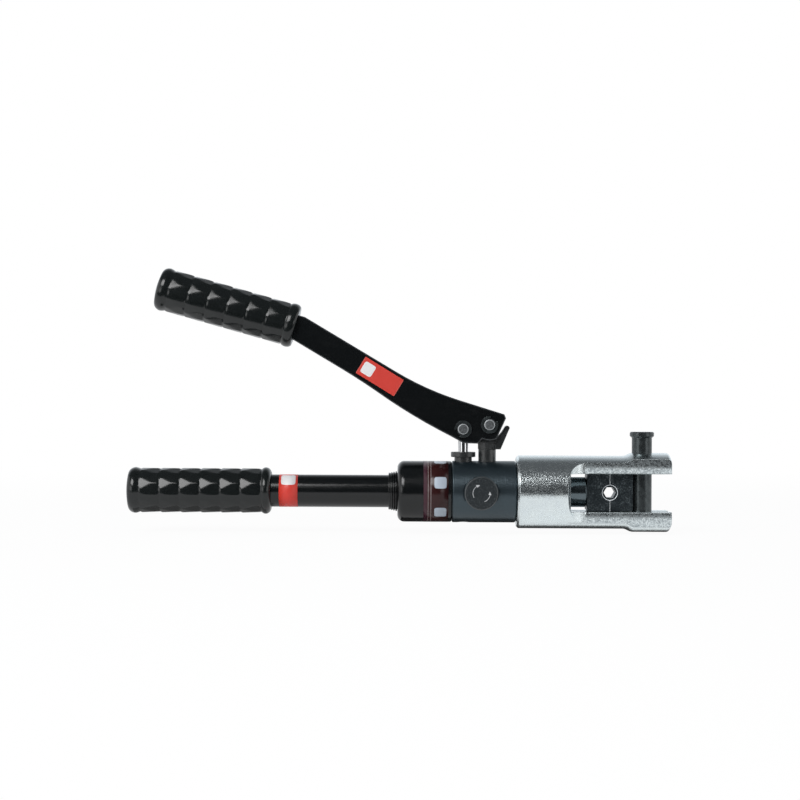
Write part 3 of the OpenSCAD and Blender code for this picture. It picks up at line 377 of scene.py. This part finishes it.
def polished_steel():
    """The plunger's polished rod, with faint lines along it."""
    f = Finish("polished_steel", (0.7, 0.71, 0.72), rough=0.12, metal=1.0)
    lines = f.noise(0.5, at=f.stretched((1, 1, 0.05)))
    f.set("Base Color", f.mixed(lines, (0.66, 0.67, 0.68), (0.76, 0.77, 0.78)))
    f.set("Roughness", 0.05 + 0.08 * lines)
    f.relief(lines, 0.004, f.edges(0.3))
    return f.material


# Finishes of the levers and the reservoir


def black_enamel(name, roll, painted_edge_highlight=False):
    """Black stove enamel, satin, with faint scuffs along the tool. Roll is the radius of its edges,
    and with painted_edge_highlight the coat has a painted highlight: a thin light line where the edges
    turn away from the near side."""
    f = Finish(name, (0.004, 0.0045, 0.005), rough=0.18)
    scuff = f.noise(2.5, detail=4, rough=0.6, at=f.stretched((0.25, 1, 1)))
    rolled = f.edges(roll, samples=10)
    shade = f.mixed(scuff.ranged(0.5, 0.75), (0.004, 0.005, 0.0055), (0.0065, 0.0075, 0.008))
    if painted_edge_highlight:
        # Painted highlight: a light line in the base colour where the rolled edge's normal turns away
        # from the near side.
        facing = abs(f.parts(rolled)[1])
        painted_edge_line = facing.over(0.78, 0.1) * (1 - facing.over(0.97, 0.03))
        shade = f.mixed(painted_edge_line, shade, (0.06, 0.065, 0.07))
    f.set("Base Color", shade)
    f.set("Roughness", 0.13 + 0.1 * scuff)
    f.relief(f.noise(1.8), 0.008, rolled)
    return f.material


def grip_rubber():
    """Glossy black dipped vinyl with a slightly uneven skin."""
    f = Finish("grip_rubber", (0.004, 0.0045, 0.005), rough=0.09, Specular_IOR_Level=0.52)
    skin = f.noise(7, detail=3)
    f.set("Base Color", f.mixed(skin, (0.005, 0.0065, 0.0065), (0.008, 0.0105, 0.0105)))
    f.set("Roughness", 0.15 + 0.08 * skin)
    f.relief(skin, 0.03)
    return f.material


def pin_steel(node):
    """The turned end of a pin: dull steel with a bright chamfer round its face."""
    f = Finish(node + "_steel", (0.16, 0.17, 0.175), rough=0.38, metal=0.9)
    low, high = box_mm(node)
    middle = (low + high) / 2
    x, y, z = f.coordinates()
    chamfer = distance(x - middle[0], z - middle[2]).over((high[0] - low[0]) / 2 - 0.8, 0.3)
    dull = f.noise(1.5, detail=4)
    face = f.mixed(dull.ranged(0.3, 0.7), (0.08, 0.087, 0.09), (0.19, 0.2, 0.205))
    f.set("Base Color", f.mixed(chamfer, face, (0.5, 0.52, 0.53)))
    f.set("Metallic", 0.35 + 0.2 * dull)
    f.set("Roughness", 0.3 + 0.2 * dull)
    f.relief(dull, 0.03, f.edges(0.7, samples=10))
    return f.material


# Finishes of the inner fittings


def brushed_metal(name, dark, light, rough):
    """A brushed metal between two tones."""
    f = Finish(name, light, rough, metal=1.0)
    grain = f.noise(1.0, detail=3)
    f.set("Base Color", f.mixed(grain, dark, light))
    f.set("Roughness", rough + 0.15 * grain)
    f.relief(grain, 0.01)
    return f.material


def seal_rubber():
    """Matt black rubber."""
    f = Finish("seal_rubber", (0.012, 0.012, 0.012), rough=0.55)
    grain = f.noise(0.8)
    f.set("Base Color", f.mixed(grain, (0.009, 0.009, 0.009), (0.02, 0.02, 0.02)))
    f.set("Roughness", 0.45 + 0.2 * grain)
    f.relief(grain, 0.02)
    return f.material


# What each solid wears

knob_low, knob_high = box_mm("release_knob")
KNOB_MIDDLE = ((knob_low[0] + knob_high[0]) / 2, (knob_low[2] + knob_high[2]) / 2)
KNOB_FACE_Y = knob_low[1]
KNOB_R = (knob_high[0] - knob_low[0]) / 2

vinyl = grip_rubber()
COATS = [
    (zinc_plate(), ["fork_head"]),
    (die_steel(), ["fixed_die", "moving_die"]),
    (ram_steel(), ["ram"]),
    (black_oxide(), ["latch_pin", "pin_clips"]),
    (cast_black(), ["gland_nut", "fulcrum_post"]),
    (slate_paint(), ["pump_body"]),
    (knob_paint(KNOB_MIDDLE, line_r=KNOB_R - 0.5), ["release_knob"]),
    (polished_steel(), ["plunger"]),
    (black_enamel("black_paint", roll=0.9), ["reservoir_shell", "handle_collar", "handle_tube"]),
    (black_enamel("lever_enamel", roll=2.4, painted_edge_highlight=True), ["lever"]),
    (vinyl, ["handle_grip", "lever_grip"]),
    (pin_steel("fulcrum_pin"), ["fulcrum_pin"]),
    (pin_steel("plunger_pin"), ["plunger_pin"]),
    (brushed_metal("spring_metal", (0.5, 0.5, 0.5), (0.68, 0.68, 0.66), rough=0.22),
     ["ram_return_spring", "detent_ball", "detent_spring", "swivel_ring", "bladder_clamp",
      "suction_strainer", "inlet_ball", "inlet_spring", "outlet_ball", "outlet_spring",
      "relief_ball", "relief_spring"]),
    (brushed_metal("dark_metal", (0.12, 0.12, 0.125), (0.2, 0.2, 0.21), rough=0.3),
     ["die_set_screw", "detent_screw", "release_screw", "knob_set_screw", "inlet_plug",
      "outlet_plug", "relief_screw"]),
    (brushed_metal("plug_brass", (0.7, 0.5, 0.2), (0.82, 0.64, 0.3), rough=0.25), ["filler_plug"]),
    (seal_rubber(), ["piston_seal", "ram_wiper", "cylinder_seal", "plunger_seal", "release_seal",
                     "shell_seal", "oil_bladder"]),
]
for material, names in COATS:
    for name in names:
        slots = nodes[name].data.materials
        slots.clear()
        slots.append(material)


# Surfaces


def linked(name, verts, faces, material):
    """An object of the given vertices in metres and faces, in the scene."""
    mesh = bpy.data.meshes.new(name)
    mesh.from_pydata(np.asarray(verts).tolist(), [], faces)
    mesh.materials.append(material)
    mesh.update()
    thing = bpy.data.objects.new(name, mesh)
    bpy.context.scene.collection.objects.link(thing)
    return thing


def strips(rows):
    """Faces between neighbouring rows of vertex numbers, whose ends meet."""
    right = np.roll(rows, -1, axis=1)
    return np.stack([rows[:-1], right[:-1], right[1:], rows[1:]], axis=-1).reshape(-1, 4).tolist()


def grid_piece(name, points, body, material, ring=False, smooth=True):
    """A closed piece from a grid of points [row, column, xyz], whose columns close into rings. Its
    first and last rows are closed by fans or, for a ring, are joined to each other."""
    rows, cols = points.shape[:2]
    index = np.arange(rows * cols).reshape(rows, cols)
    verts = points.reshape(-1, 3)
    if ring:
        faces = strips(np.vstack([index, index[:1]]))
    else:
        right = np.roll(index, -1, axis=1)
        hub = np.full(cols, len(verts))
        first_fan = np.stack([hub, right[0], index[0]], axis=-1)
        last_fan = np.stack([hub + 1, index[-1], right[-1]], axis=-1)
        verts = np.vstack([verts, points[0].mean(0), points[-1].mean(0)])
        faces = strips(index) + first_fan.tolist() + last_fan.tolist()
    thing = linked(name, verts * MM, faces, material)
    thing.data.polygons.foreach_set("use_smooth", np.full(len(thing.data.polygons), smooth))
    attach(thing, body)
    return thing


def tilted(along, up, slope):
    """Two coordinates, of points or in a material, turned down by slope degrees."""
    a = math.radians(slope)
    return along * math.cos(a) + up * math.sin(a), up * math.cos(a) - along * math.sin(a)


# Grips

# The round profile, as in the solid
GRIP_BULGES = 6
GRIP_LIP_L = 10.0
GRIP_LIP_OUT = 0.6
GRIP_LIP_FOOT = 0.9
GRIP_FURROW = 1.0
GRIP_END_BULGE = 12.3
GRIP_END_RISE = (2.1, 0.2)
GRIP_SHOULDER_IN = (8.1, 4.7)
GRIP_SHOULDER_SIZE = (6.3, 5.0)
GRIP_DOME = 1.8

# How many points the surface has round the grip
GRIP_COLUMNS = 240

# The facets: their number round a bulge, the middle of one in degrees from the near side, the
# length over which they fade into a valley, how steeply they rise from a bulge's two valleys, the
# corners in degrees between which the near side is round, and how sharp the ridge is
FACETS = 12
FACET_TURN = 21.0
FACET_FADE = 1.2
REAR_SLOPE = math.tan(math.radians(5.2))
FRONT_SLOPE = math.tan(math.radians(3))
REAR_ROUND = (-24.0, 6.0)
FRONT_ROUND = (-39.0, -9.0)
RIDGE_POWER = -80.0


def grip_rows(length, d, mouth_r):
    """Places along a grip and radii of its round profile, as in the solid: a rolled lip, the foot
    line of the bulges, and the end bulge with its dome. The third array says where facets are, and
    the last two values are where the bulges start and how long each is."""
    r = d / 2
    first = GRIP_LIP_L - GRIP_LIP_FOOT
    last = length - GRIP_END_BULGE
    turn = np.radians(np.linspace(180, 45, 16))
    lip_h = r + GRIP_LIP_OUT - mouth_r
    lip = np.stack([GRIP_LIP_L / 2 * (1 + np.cos(turn)), mouth_r + lip_h * np.sin(turn)])
    along = np.linspace(first, last, GRIP_BULGES * 24 + 1)
    foot = np.stack([along, np.full_like(along, r - GRIP_FURROW)])
    middle = np.array([[length - GRIP_SHOULDER_IN[0]], [r - GRIP_SHOULDER_IN[1]]])
    rise = np.array([[middle[0, 0] - GRIP_END_RISE[0]], [r - GRIP_END_RISE[1]]])
    turn = np.radians(np.linspace(90, 0, 14))
    shoulder = middle + np.array([GRIP_SHOULDER_SIZE]).T * [np.cos(turn), np.sin(turn)]
    share = np.linspace(0.92, 0.04, 12)
    dome = np.stack([length - GRIP_DOME * share ** 2, middle[1, 0] * share])
    x, radius = np.hstack([lip, foot, rise, shoulder, dome])
    return x, radius, (x >= first) & (x <= last), first, (last - first) / GRIP_BULGES


def facet_plane(turn, offset, round_zone):
    """How much further out than its middle a flat facet lies, at angles round the grip. Between
    the two corners of round_zone, in degrees, a round arc at the corners' height takes over."""
    step = 2 * math.pi / FACETS
    away = (turn - math.radians(FACET_TURN) - offset + step / 2) % step - step / 2
    angle = np.degrees((turn + math.pi) % (2 * math.pi) - math.pi)
    inside = (angle > round_zone[0]) & (angle < round_zone[1])
    return np.where(inside, 1 / math.cos(step / 2), 1 / np.cos(away))


def grip_surface(length, d, mouth_r):
    """Each bulge is the least of two rings of flat facets: one ring rises from the bulge's rear
    valley, the other, half a facet further round, from its front valley. The power sum with a
    large negative power is the least of the two with a rounded ridge. At the valleys the grip is
    round."""
    along, radius, faceted, first, pitch = grip_rows(length, d, mouth_r)
    turn = np.linspace(0, 2 * math.pi, GRIP_COLUMNS, endpoint=False)
    x = np.where(faceted, (along - first) % pitch, 0.0)[:, None]
    radius = radius[:, None]
    flat = np.clip(np.minimum(x, pitch - x) / FACET_FADE, 0, 1)
    flat = flat * flat * (3 - 2 * flat)
    front_plane = facet_plane(turn, math.pi / FACETS, FRONT_ROUND)
    rear_plane = facet_plane(turn, 0, REAR_ROUND)
    front = (radius + FRONT_SLOPE * x) * (1 + (front_plane - 1) * flat)
    rear = (radius + REAR_SLOPE * (pitch - x)) * (1 + (rear_plane - 1) * flat)
    least = (front ** RIDGE_POWER + rear ** RIDGE_POWER) ** (1 / RIDGE_POWER)
    r = np.where(faceted[:, None], least, radius)
    return np.stack([np.broadcast_to(-along[:, None], r.shape), -r * np.cos(turn), r * np.sin(turn)], -1)


def fitted_grip(name, node, slope, mouth_r, body):
    """A faceted grip in the place of a CAD grip, whose size and place are read from its mesh."""
    mesh = nodes[node].data
    flat = np.empty(len(mesh.vertices) * 3)
    mesh.vertices.foreach_get("co", flat)
    x, y, z = flat.reshape(-1, 3).T / MM
    along, up = tilted(x, z, -slope)
    length = along.max() - along.min()
    points = grip_surface(length, 2 * (y.max() - GRIP_LIP_OUT), mouth_r)
    points += [along.max(), 0, (up.min() + up.max()) / 2]
    points[..., 0], points[..., 2] = tilted(points[..., 0], points[..., 2], slope)
    grip = grid_piece(name, points, body, vinyl)
    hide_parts(node)


fitted_grip("handle_grip_faceted", "handle_grip", slope=0, mouth_r=14.7, body="pump")
fitted_grip("lever_grip_faceted", "lever_grip", slope=15.6, mouth_r=16.3, body="lever")


# Printed bands

# A printed film's thickness, and how far its face stands off the metal
FILM = 0.05
FILM_LIFT = 0.06

# Places along the tool, sizes of the printed squares, and their places round the tool's axis in
# degrees from the near side
LABEL = (-163.2, -141.6)
LABEL_MARGIN_X = -160.2
LABEL_RULES_X = -158.0
LABEL_RULE_OUT = 1.2
LABEL_RULE_HALF_W = 0.22
LABEL_SQUARE = 10.5
LABEL_SQUARE_X = -148.5
LABEL_SQUARE_TURN = 19.3
LABEL_SQUARE_STEP = 60.0
TUBE_BAND = (-289.5, -273.1)
TUBE_SQUARE = 12.6
TUBE_SQUARE_TURN = 49.0


def band(name, x0, x1, r, slot, material):
    """A thin printed sleeve round the tool's axis, from x0 to x1 at radius r."""
    turn = np.linspace(0, 2 * math.pi, 128, endpoint=False)
    x = np.array([x0, x0, x1, x1])[:, None]
    out = np.array([r - FILM, r, r, r - FILM])[:, None]
    points = np.stack([x + 0 * turn, -out * np.cos(turn), out * np.sin(turn)], -1)
    grid_piece(name, points, "pump", material, ring=True)


def round_square(across, along, side):
    """1 inside a square with round corners, from the two distances to its middle."""
    half = side / 2
    return 1 - (abs(across / half) ** 6 + abs(along / half) ** 6).over(1, 0.25)


def arc_from(y, z, r, turn, step=360.0):
    """Distance round the tool's axis from the nearest of the places at turn + n * step degrees."""
    angle = turn_round_axis(y, z) - math.radians(turn - step / 2)
    return (angle % math.radians(step) - math.radians(step / 2)) * r


def label_film(r):
    """Maroon printed film: a paler margin, two thin rules and blank pale squares in a row."""
    f = Finish("label_film", (0.06, 0.01, 0.01), rough=0.2, Specular_IOR_Level=0.35)
    x, y, z = f.coordinates()
    arc = arc_from(y, z, r, LABEL_SQUARE_TURN, LABEL_SQUARE_STEP)
    square = round_square(x - LABEL_SQUARE_X, arc, LABEL_SQUARE)
    margin = 1 - x.over(LABEL_MARGIN_X, 0.1)
    rules = (abs(x - LABEL_RULES_X) - LABEL_RULE_OUT).within(LABEL_RULE_HALF_W, 0.12)
    shade = f.mixed(margin, (0.032, 0.0075, 0.0075), (0.05, 0.012, 0.022))
    ruled = f.mixed(rules * 0.55, shade, (0.5, 0.42, 0.42))
    f.set("Base Color", f.mixed(square, ruled, (0.5, 0.56, 0.64)))
    f.set("Roughness", 0.16 + 0.1 * f.noise(6))
    return f.material


def red_film(r):
    """Red printed film round the tube, with one blank white square."""
    f = Finish("red_film", (0.6, 0.03, 0.02), rough=0.35)
    x, y, z = f.coordinates()
    square = round_square(x - sum(TUBE_BAND) / 2, arc_from(y, z, r, TUBE_SQUARE_TURN), TUBE_SQUARE)
    f.set("Base Color", f.mixed(square, (0.7, 0.045, 0.03), (0.82, 0.8, 0.8)))
    f.set("Roughness", 0.3 + 0.15 * f.noise(5))
    return f.material


shell_r = box_mm("reservoir_shell")[1][1] + FILM_LIFT
tube_r = box_mm("handle_tube")[1][1] + FILM_LIFT
band("maroon_label", *LABEL, shell_r, "black_paint", label_film(shell_r))
band("red_tube_band", *TUBE_BAND, tube_r, "black_paint", red_film(tube_r))


# Lever's sticker

STICKER_MIDDLE = (-201.8, 100.7)
STICKER_SIZE = (39.3, 16.6)
STICKER_SLOPE = 31.3
STICKER_CORNER = 0.8
STICKER_EDGE = 0.6
STICKER_SQUARE = 10.8
STICKER_SQUARE_BACK = 12.0


def sticker_film():
    """Red film, paler along its two ends, with a blank white square near its rear end."""
    f = Finish("sticker_film", (0.62, 0.035, 0.022), rough=0.35)
    x, y, z = f.coordinates()
    along, up = tilted(x - STICKER_MIDDLE[0], z - STICKER_MIDDLE[1], -STICKER_SLOPE)
    square = round_square(along + STICKER_SQUARE_BACK, up, STICKER_SQUARE)
    edge = abs(along).over(STICKER_SIZE[0] / 2 - STICKER_EDGE, 0.3)
    red = f.mixed(edge, (0.66, 0.045, 0.03), (0.6, 0.1, 0.08))
    f.set("Base Color", f.mixed(square, red, (0.82, 0.8, 0.8)))
    f.set("Roughness", 0.3 + 0.15 * f.noise(5))
    return f.material


def lever_sticker():
    """A thin rectangle on the lever's near plate. Each quarter of a small circle moves out to its
    own corner, and the angles are a hair past the quarters' ends, where the sign would be 0."""
    turn = np.radians(np.arange(0, 360, 15) + 0.001)
    straight = np.array(STICKER_SIZE)[:, None] / 2 - STICKER_CORNER
    around = np.stack([np.cos(turn), np.sin(turn)])
    x, z = tilted(*(np.sign(around) * straight + STICKER_CORNER * around), STICKER_SLOPE)
    front = box_mm("lever")[0][1] - FILM_LIFT
    y = np.array([front, front + FILM])[:, None]
    points = np.stack(np.broadcast_arrays(x + STICKER_MIDDLE[0], y, z + STICKER_MIDDLE[1]), -1)
    grid_piece("lever_sticker", points, "lever", sticker_film(), smooth=False)


lever_sticker()


# Knob's arrows

# The head's half width is given in widths of the arrow, and its length in degrees. The arrow's
# back is sunk into the knob, and its face stands proud.
ARROW_R = 7.4
ARROW_W = 0.5
ARROW_HEAD_SPREAD = 2.7
ARROW_HEAD_TURN = 24.0
ARROW_TIP_HALF_W = 0.02
ARROW_ROWS = 24
ARROW_SUNK = 0.02
ARROW_PROUD = 0.08


def white_print():
    """Worn white print."""
    f = Finish("white_print", (0.6, 0.6, 0.6), rough=0.5)
    f.set("Base Color", f.mixed(f.noise(0.5), (0.35, 0.36, 0.37), (0.72, 0.72, 0.72)))
    return f.material


def arrow(name, start, end, material):
    """A flat raised arrow along an arc on the knob's face, from angle start to end in degrees: a
    ribbon that widens into its head over the last part of the arc. Rows run along the arc."""
    neck = end - math.copysign(ARROW_HEAD_TURN, end - start)
    turn = np.radians(np.r_[np.linspace(start, neck, ARROW_ROWS), neck, end])[:, None]
    half = np.r_[np.full(ARROW_ROWS, ARROW_W / 2), ARROW_W * ARROW_HEAD_SPREAD, ARROW_TIP_HALF_W]
    r = ARROW_R + half[:, None] * [-1, 1, 1, -1]
    y = KNOB_FACE_Y + np.array([-ARROW_PROUD, -ARROW_PROUD, ARROW_SUNK, ARROW_SUNK])
    x = KNOB_MIDDLE[0] + r * np.cos(turn)
    z = KNOB_MIDDLE[1] + r * np.sin(turn)
    points = np.stack(np.broadcast_arrays(x, y, z), -1)
    if end < start:
        points = points[::-1]
    grid_piece(name, points, "release", material, smooth=False)


print_white = white_print()
arrow("turn_arrow_rear", 210, 100, print_white)
arrow("turn_arrow_front", -70, 14, print_white)


# Studio, in metres

TOOL_MIDDLE = np.array([-0.18, 0.0, 0.05])
FLOOR_HALF = 6.0
NEAR_PAPER = 0.3
FAR_PAPER = 1.6
TENT_R = 3.0
TENT_HALF_L = 4.0
TENT_PAST_LEVEL = 1.2
CARD_DISTANCE = 1.5
CARD_TOP = 0.45
SENSOR = 36.0
CAMERA_BACK = 1.6
CAMERA_ROLL = -0.28
PICTURE_W = 0.704
FLOOR_GAP = 0.002

floor_z = cad_box[0][2] - FLOOR_GAP


def floor_paper():
    """White paper: it shows as white, a little duller near the tool, and still takes the tool's
    soft shadow."""
    material = bpy.data.materials.new("floor_paper")
    s = Shading(material)
    away = s.node("ShaderNodeVectorMath", {"operation": "LENGTH"}, {0: s.object_place()}, "Value")
    paper = s.node("ShaderNodeBsdfDiffuse", {}, {"Color": (0.9, 0.9, 0.9, 1)})
    white = s.node("ShaderNodeEmission", {}, {})
    shows = s.blend(s.seen(away.ranged(NEAR_PAPER, FAR_PAPER, 0.95, 1.0), 0.5), paper, white)
    s.node("ShaderNodeOutputMaterial", {}, {"Surface": shows})
    return material


def studio_room():
    """A pale bluish room that lights the tool, and that shows and mirrors as white."""
    world = bpy.data.worlds.new("studio")
    s = Shading(world)
    room = s.node("ShaderNodeBackground", {}, {"Color": (0.9, 0.95, 1.0, 1), "Strength": 0.45})
    white = s.node("ShaderNodeBackground", {}, {"Color": (1, 1, 1, 1), "Strength": 1.0})
    s.node("ShaderNodeOutputWorld", {}, {"Surface": s.blend(s.seen(1.0, 1.0), room, white)})
    return world


def glow(name, colour_in):
    """A material that glows in the colour that colour_in gives for its tree."""
    material = bpy.data.materials.new(name)
    s = Shading(material)
    light = s.node("ShaderNodeEmission", {}, {"Color": colour_in(s)})
    s.node("ShaderNodeOutputMaterial", {}, {"Surface": light})
    return material


def tent_shade(s):
    """Nearly black at eye level in front, and paler overhead and behind. The level of grey goes by
    the angle round the X axis, where 1 is half a turn, and is a little blue."""
    x, y, z = s.parts(s.object_place())
    share = turn_round_axis(y, z) / math.pi
    levels = [(0.0, 0.04), (0.1, 0.05), (0.5, 0.1), (0.64, 0.1), (0.76, 0.5), (0.84, 0.9), (1.0, 1.0)]
    stops = [(at, (level * 0.93, level * 0.98, level * 1.03)) for at, level in levels]
    return s.node("ShaderNodeValToRGB", {"stops": stops}, {0: share})


def mirrored_sheet(name, verts, faces, material):
    """A sheet of the studio that only reflections see."""
    sheet = linked(name, verts, faces, material)
    sheet.visible_camera = False
    sheet.visible_diffuse = False
    sheet.visible_shadow = False
    sheet.visible_transmission = False


def reflected_tent():
    """A half tunnel round the X axis, from floor level in front, over the top, to the back."""
    turn = np.radians(np.linspace(-TENT_PAST_LEVEL, 180 + TENT_PAST_LEVEL, 49))
    arc = np.stack([np.zeros_like(turn), -TENT_R * np.cos(turn), TENT_R * np.sin(turn)], -1)
    verts = np.vstack([arc - [TENT_HALF_L, 0, 0], arc + [TENT_HALF_L, 0, 0]])
    i = np.arange(len(turn) - 1)
    faces = np.stack([i, i + 1, len(turn) + i + 1, len(turn) + i], -1).tolist()
    mirrored_sheet("reflected_tent", verts, faces, glow("dark_card", tent_shade))


def mirror_card(name, corners, level):
    """A flat card of one grey level, from 0 to 1 or brighter."""
    material = glow(name, lambda s: (level, level, level, 1))
    mirrored_sheet(name, corners, [(0, 1, 2, 3)], material)


def on_floor(x0, x1, y0, y1, lift=0.0):
    """Corners of a level rectangle, lifted off the floor."""
    z = floor_z + lift
    return [(x0, y0, z), (x1, y0, z), (x1, y1, z), (x0, y1, z)]


def upright(*azimuths):
    """Corners of an upright card that stands on the floor between two azimuths, which run from the
    camera's side to the left."""
    turn = np.radians(azimuths)
    ax, bx = TOOL_MIDDLE[0] - CARD_DISTANCE * np.sin(turn)
    ay, by = -CARD_DISTANCE * np.cos(turn)
    return [(ax, ay, floor_z), (bx, by, floor_z), (bx, by, CARD_TOP), (ax, ay, CARD_TOP)]


def softbox(name, azimuth, height, away, size, watts):
    """A rectangular lamp that looks at the tool, from an azimuth that runs from the camera's side to
    the left and a height above the level, both in degrees."""
    lamp = bpy.data.lights.new(name, "AREA")
    lamp.shape = "RECTANGLE"
    lamp.size, lamp.size_y = size
    lamp.energy = watts
    thing = bpy.data.objects.new(name, lamp)
    bpy.context.scene.collection.objects.link(thing)
    a, h = math.radians(azimuth), math.radians(height)
    towards = np.array([-math.sin(a) * math.cos(h), -math.cos(a) * math.cos(h), math.sin(h)])
    thing.location = TOOL_MIDDLE + away * towards
    thing.rotation_euler = (math.radians(90) - h, 0, -a)


def studio_camera():
    """Straight in front of the tool, with a lens that takes in a width of PICTURE_W at the tool."""
    camera = bpy.data.cameras.new("camera")
    camera.sensor_width = SENSOR
    camera.lens = SENSOR * CAMERA_BACK / PICTURE_W
    eye = bpy.data.objects.new("camera", camera)
    bpy.context.scene.collection.objects.link(eye)
    eye.location = (-0.184, -CAMERA_BACK, 0.0802)
    eye.rotation_euler = (math.radians(90), math.radians(CAMERA_ROLL), 0)
    bpy.context.scene.camera = eye


linked("studio_floor", on_floor(-FLOOR_HALF, FLOOR_HALF, -FLOOR_HALF, FLOOR_HALF),
                [(0, 1, 2, 3)], floor_paper())
bpy.context.scene.world = studio_room()
reflected_tent()
mirror_card("front_cloth", on_floor(-4, 4, -3, -0.25, 0.001), 0.04)
mirror_card("body_shade_card", on_floor(-0.19, 0.055, -0.008, 0.05, 0.0005), 0.05)
mirror_card("grip_shade_card", on_floor(-0.424, -0.296, -0.008, 0.05, 0.0005), 0.35)
mirror_card("left_strip", upright(34, 60), 1.8)
mirror_card("right_strip", upright(-42, -66), 1.6)
softbox("key_softbox", azimuth=31.5, height=37.5, away=2.2, size=(1.4, 1.0), watts=29)
studio_camera()
bpy.context.scene.view_settings.view_transform = "Standard"
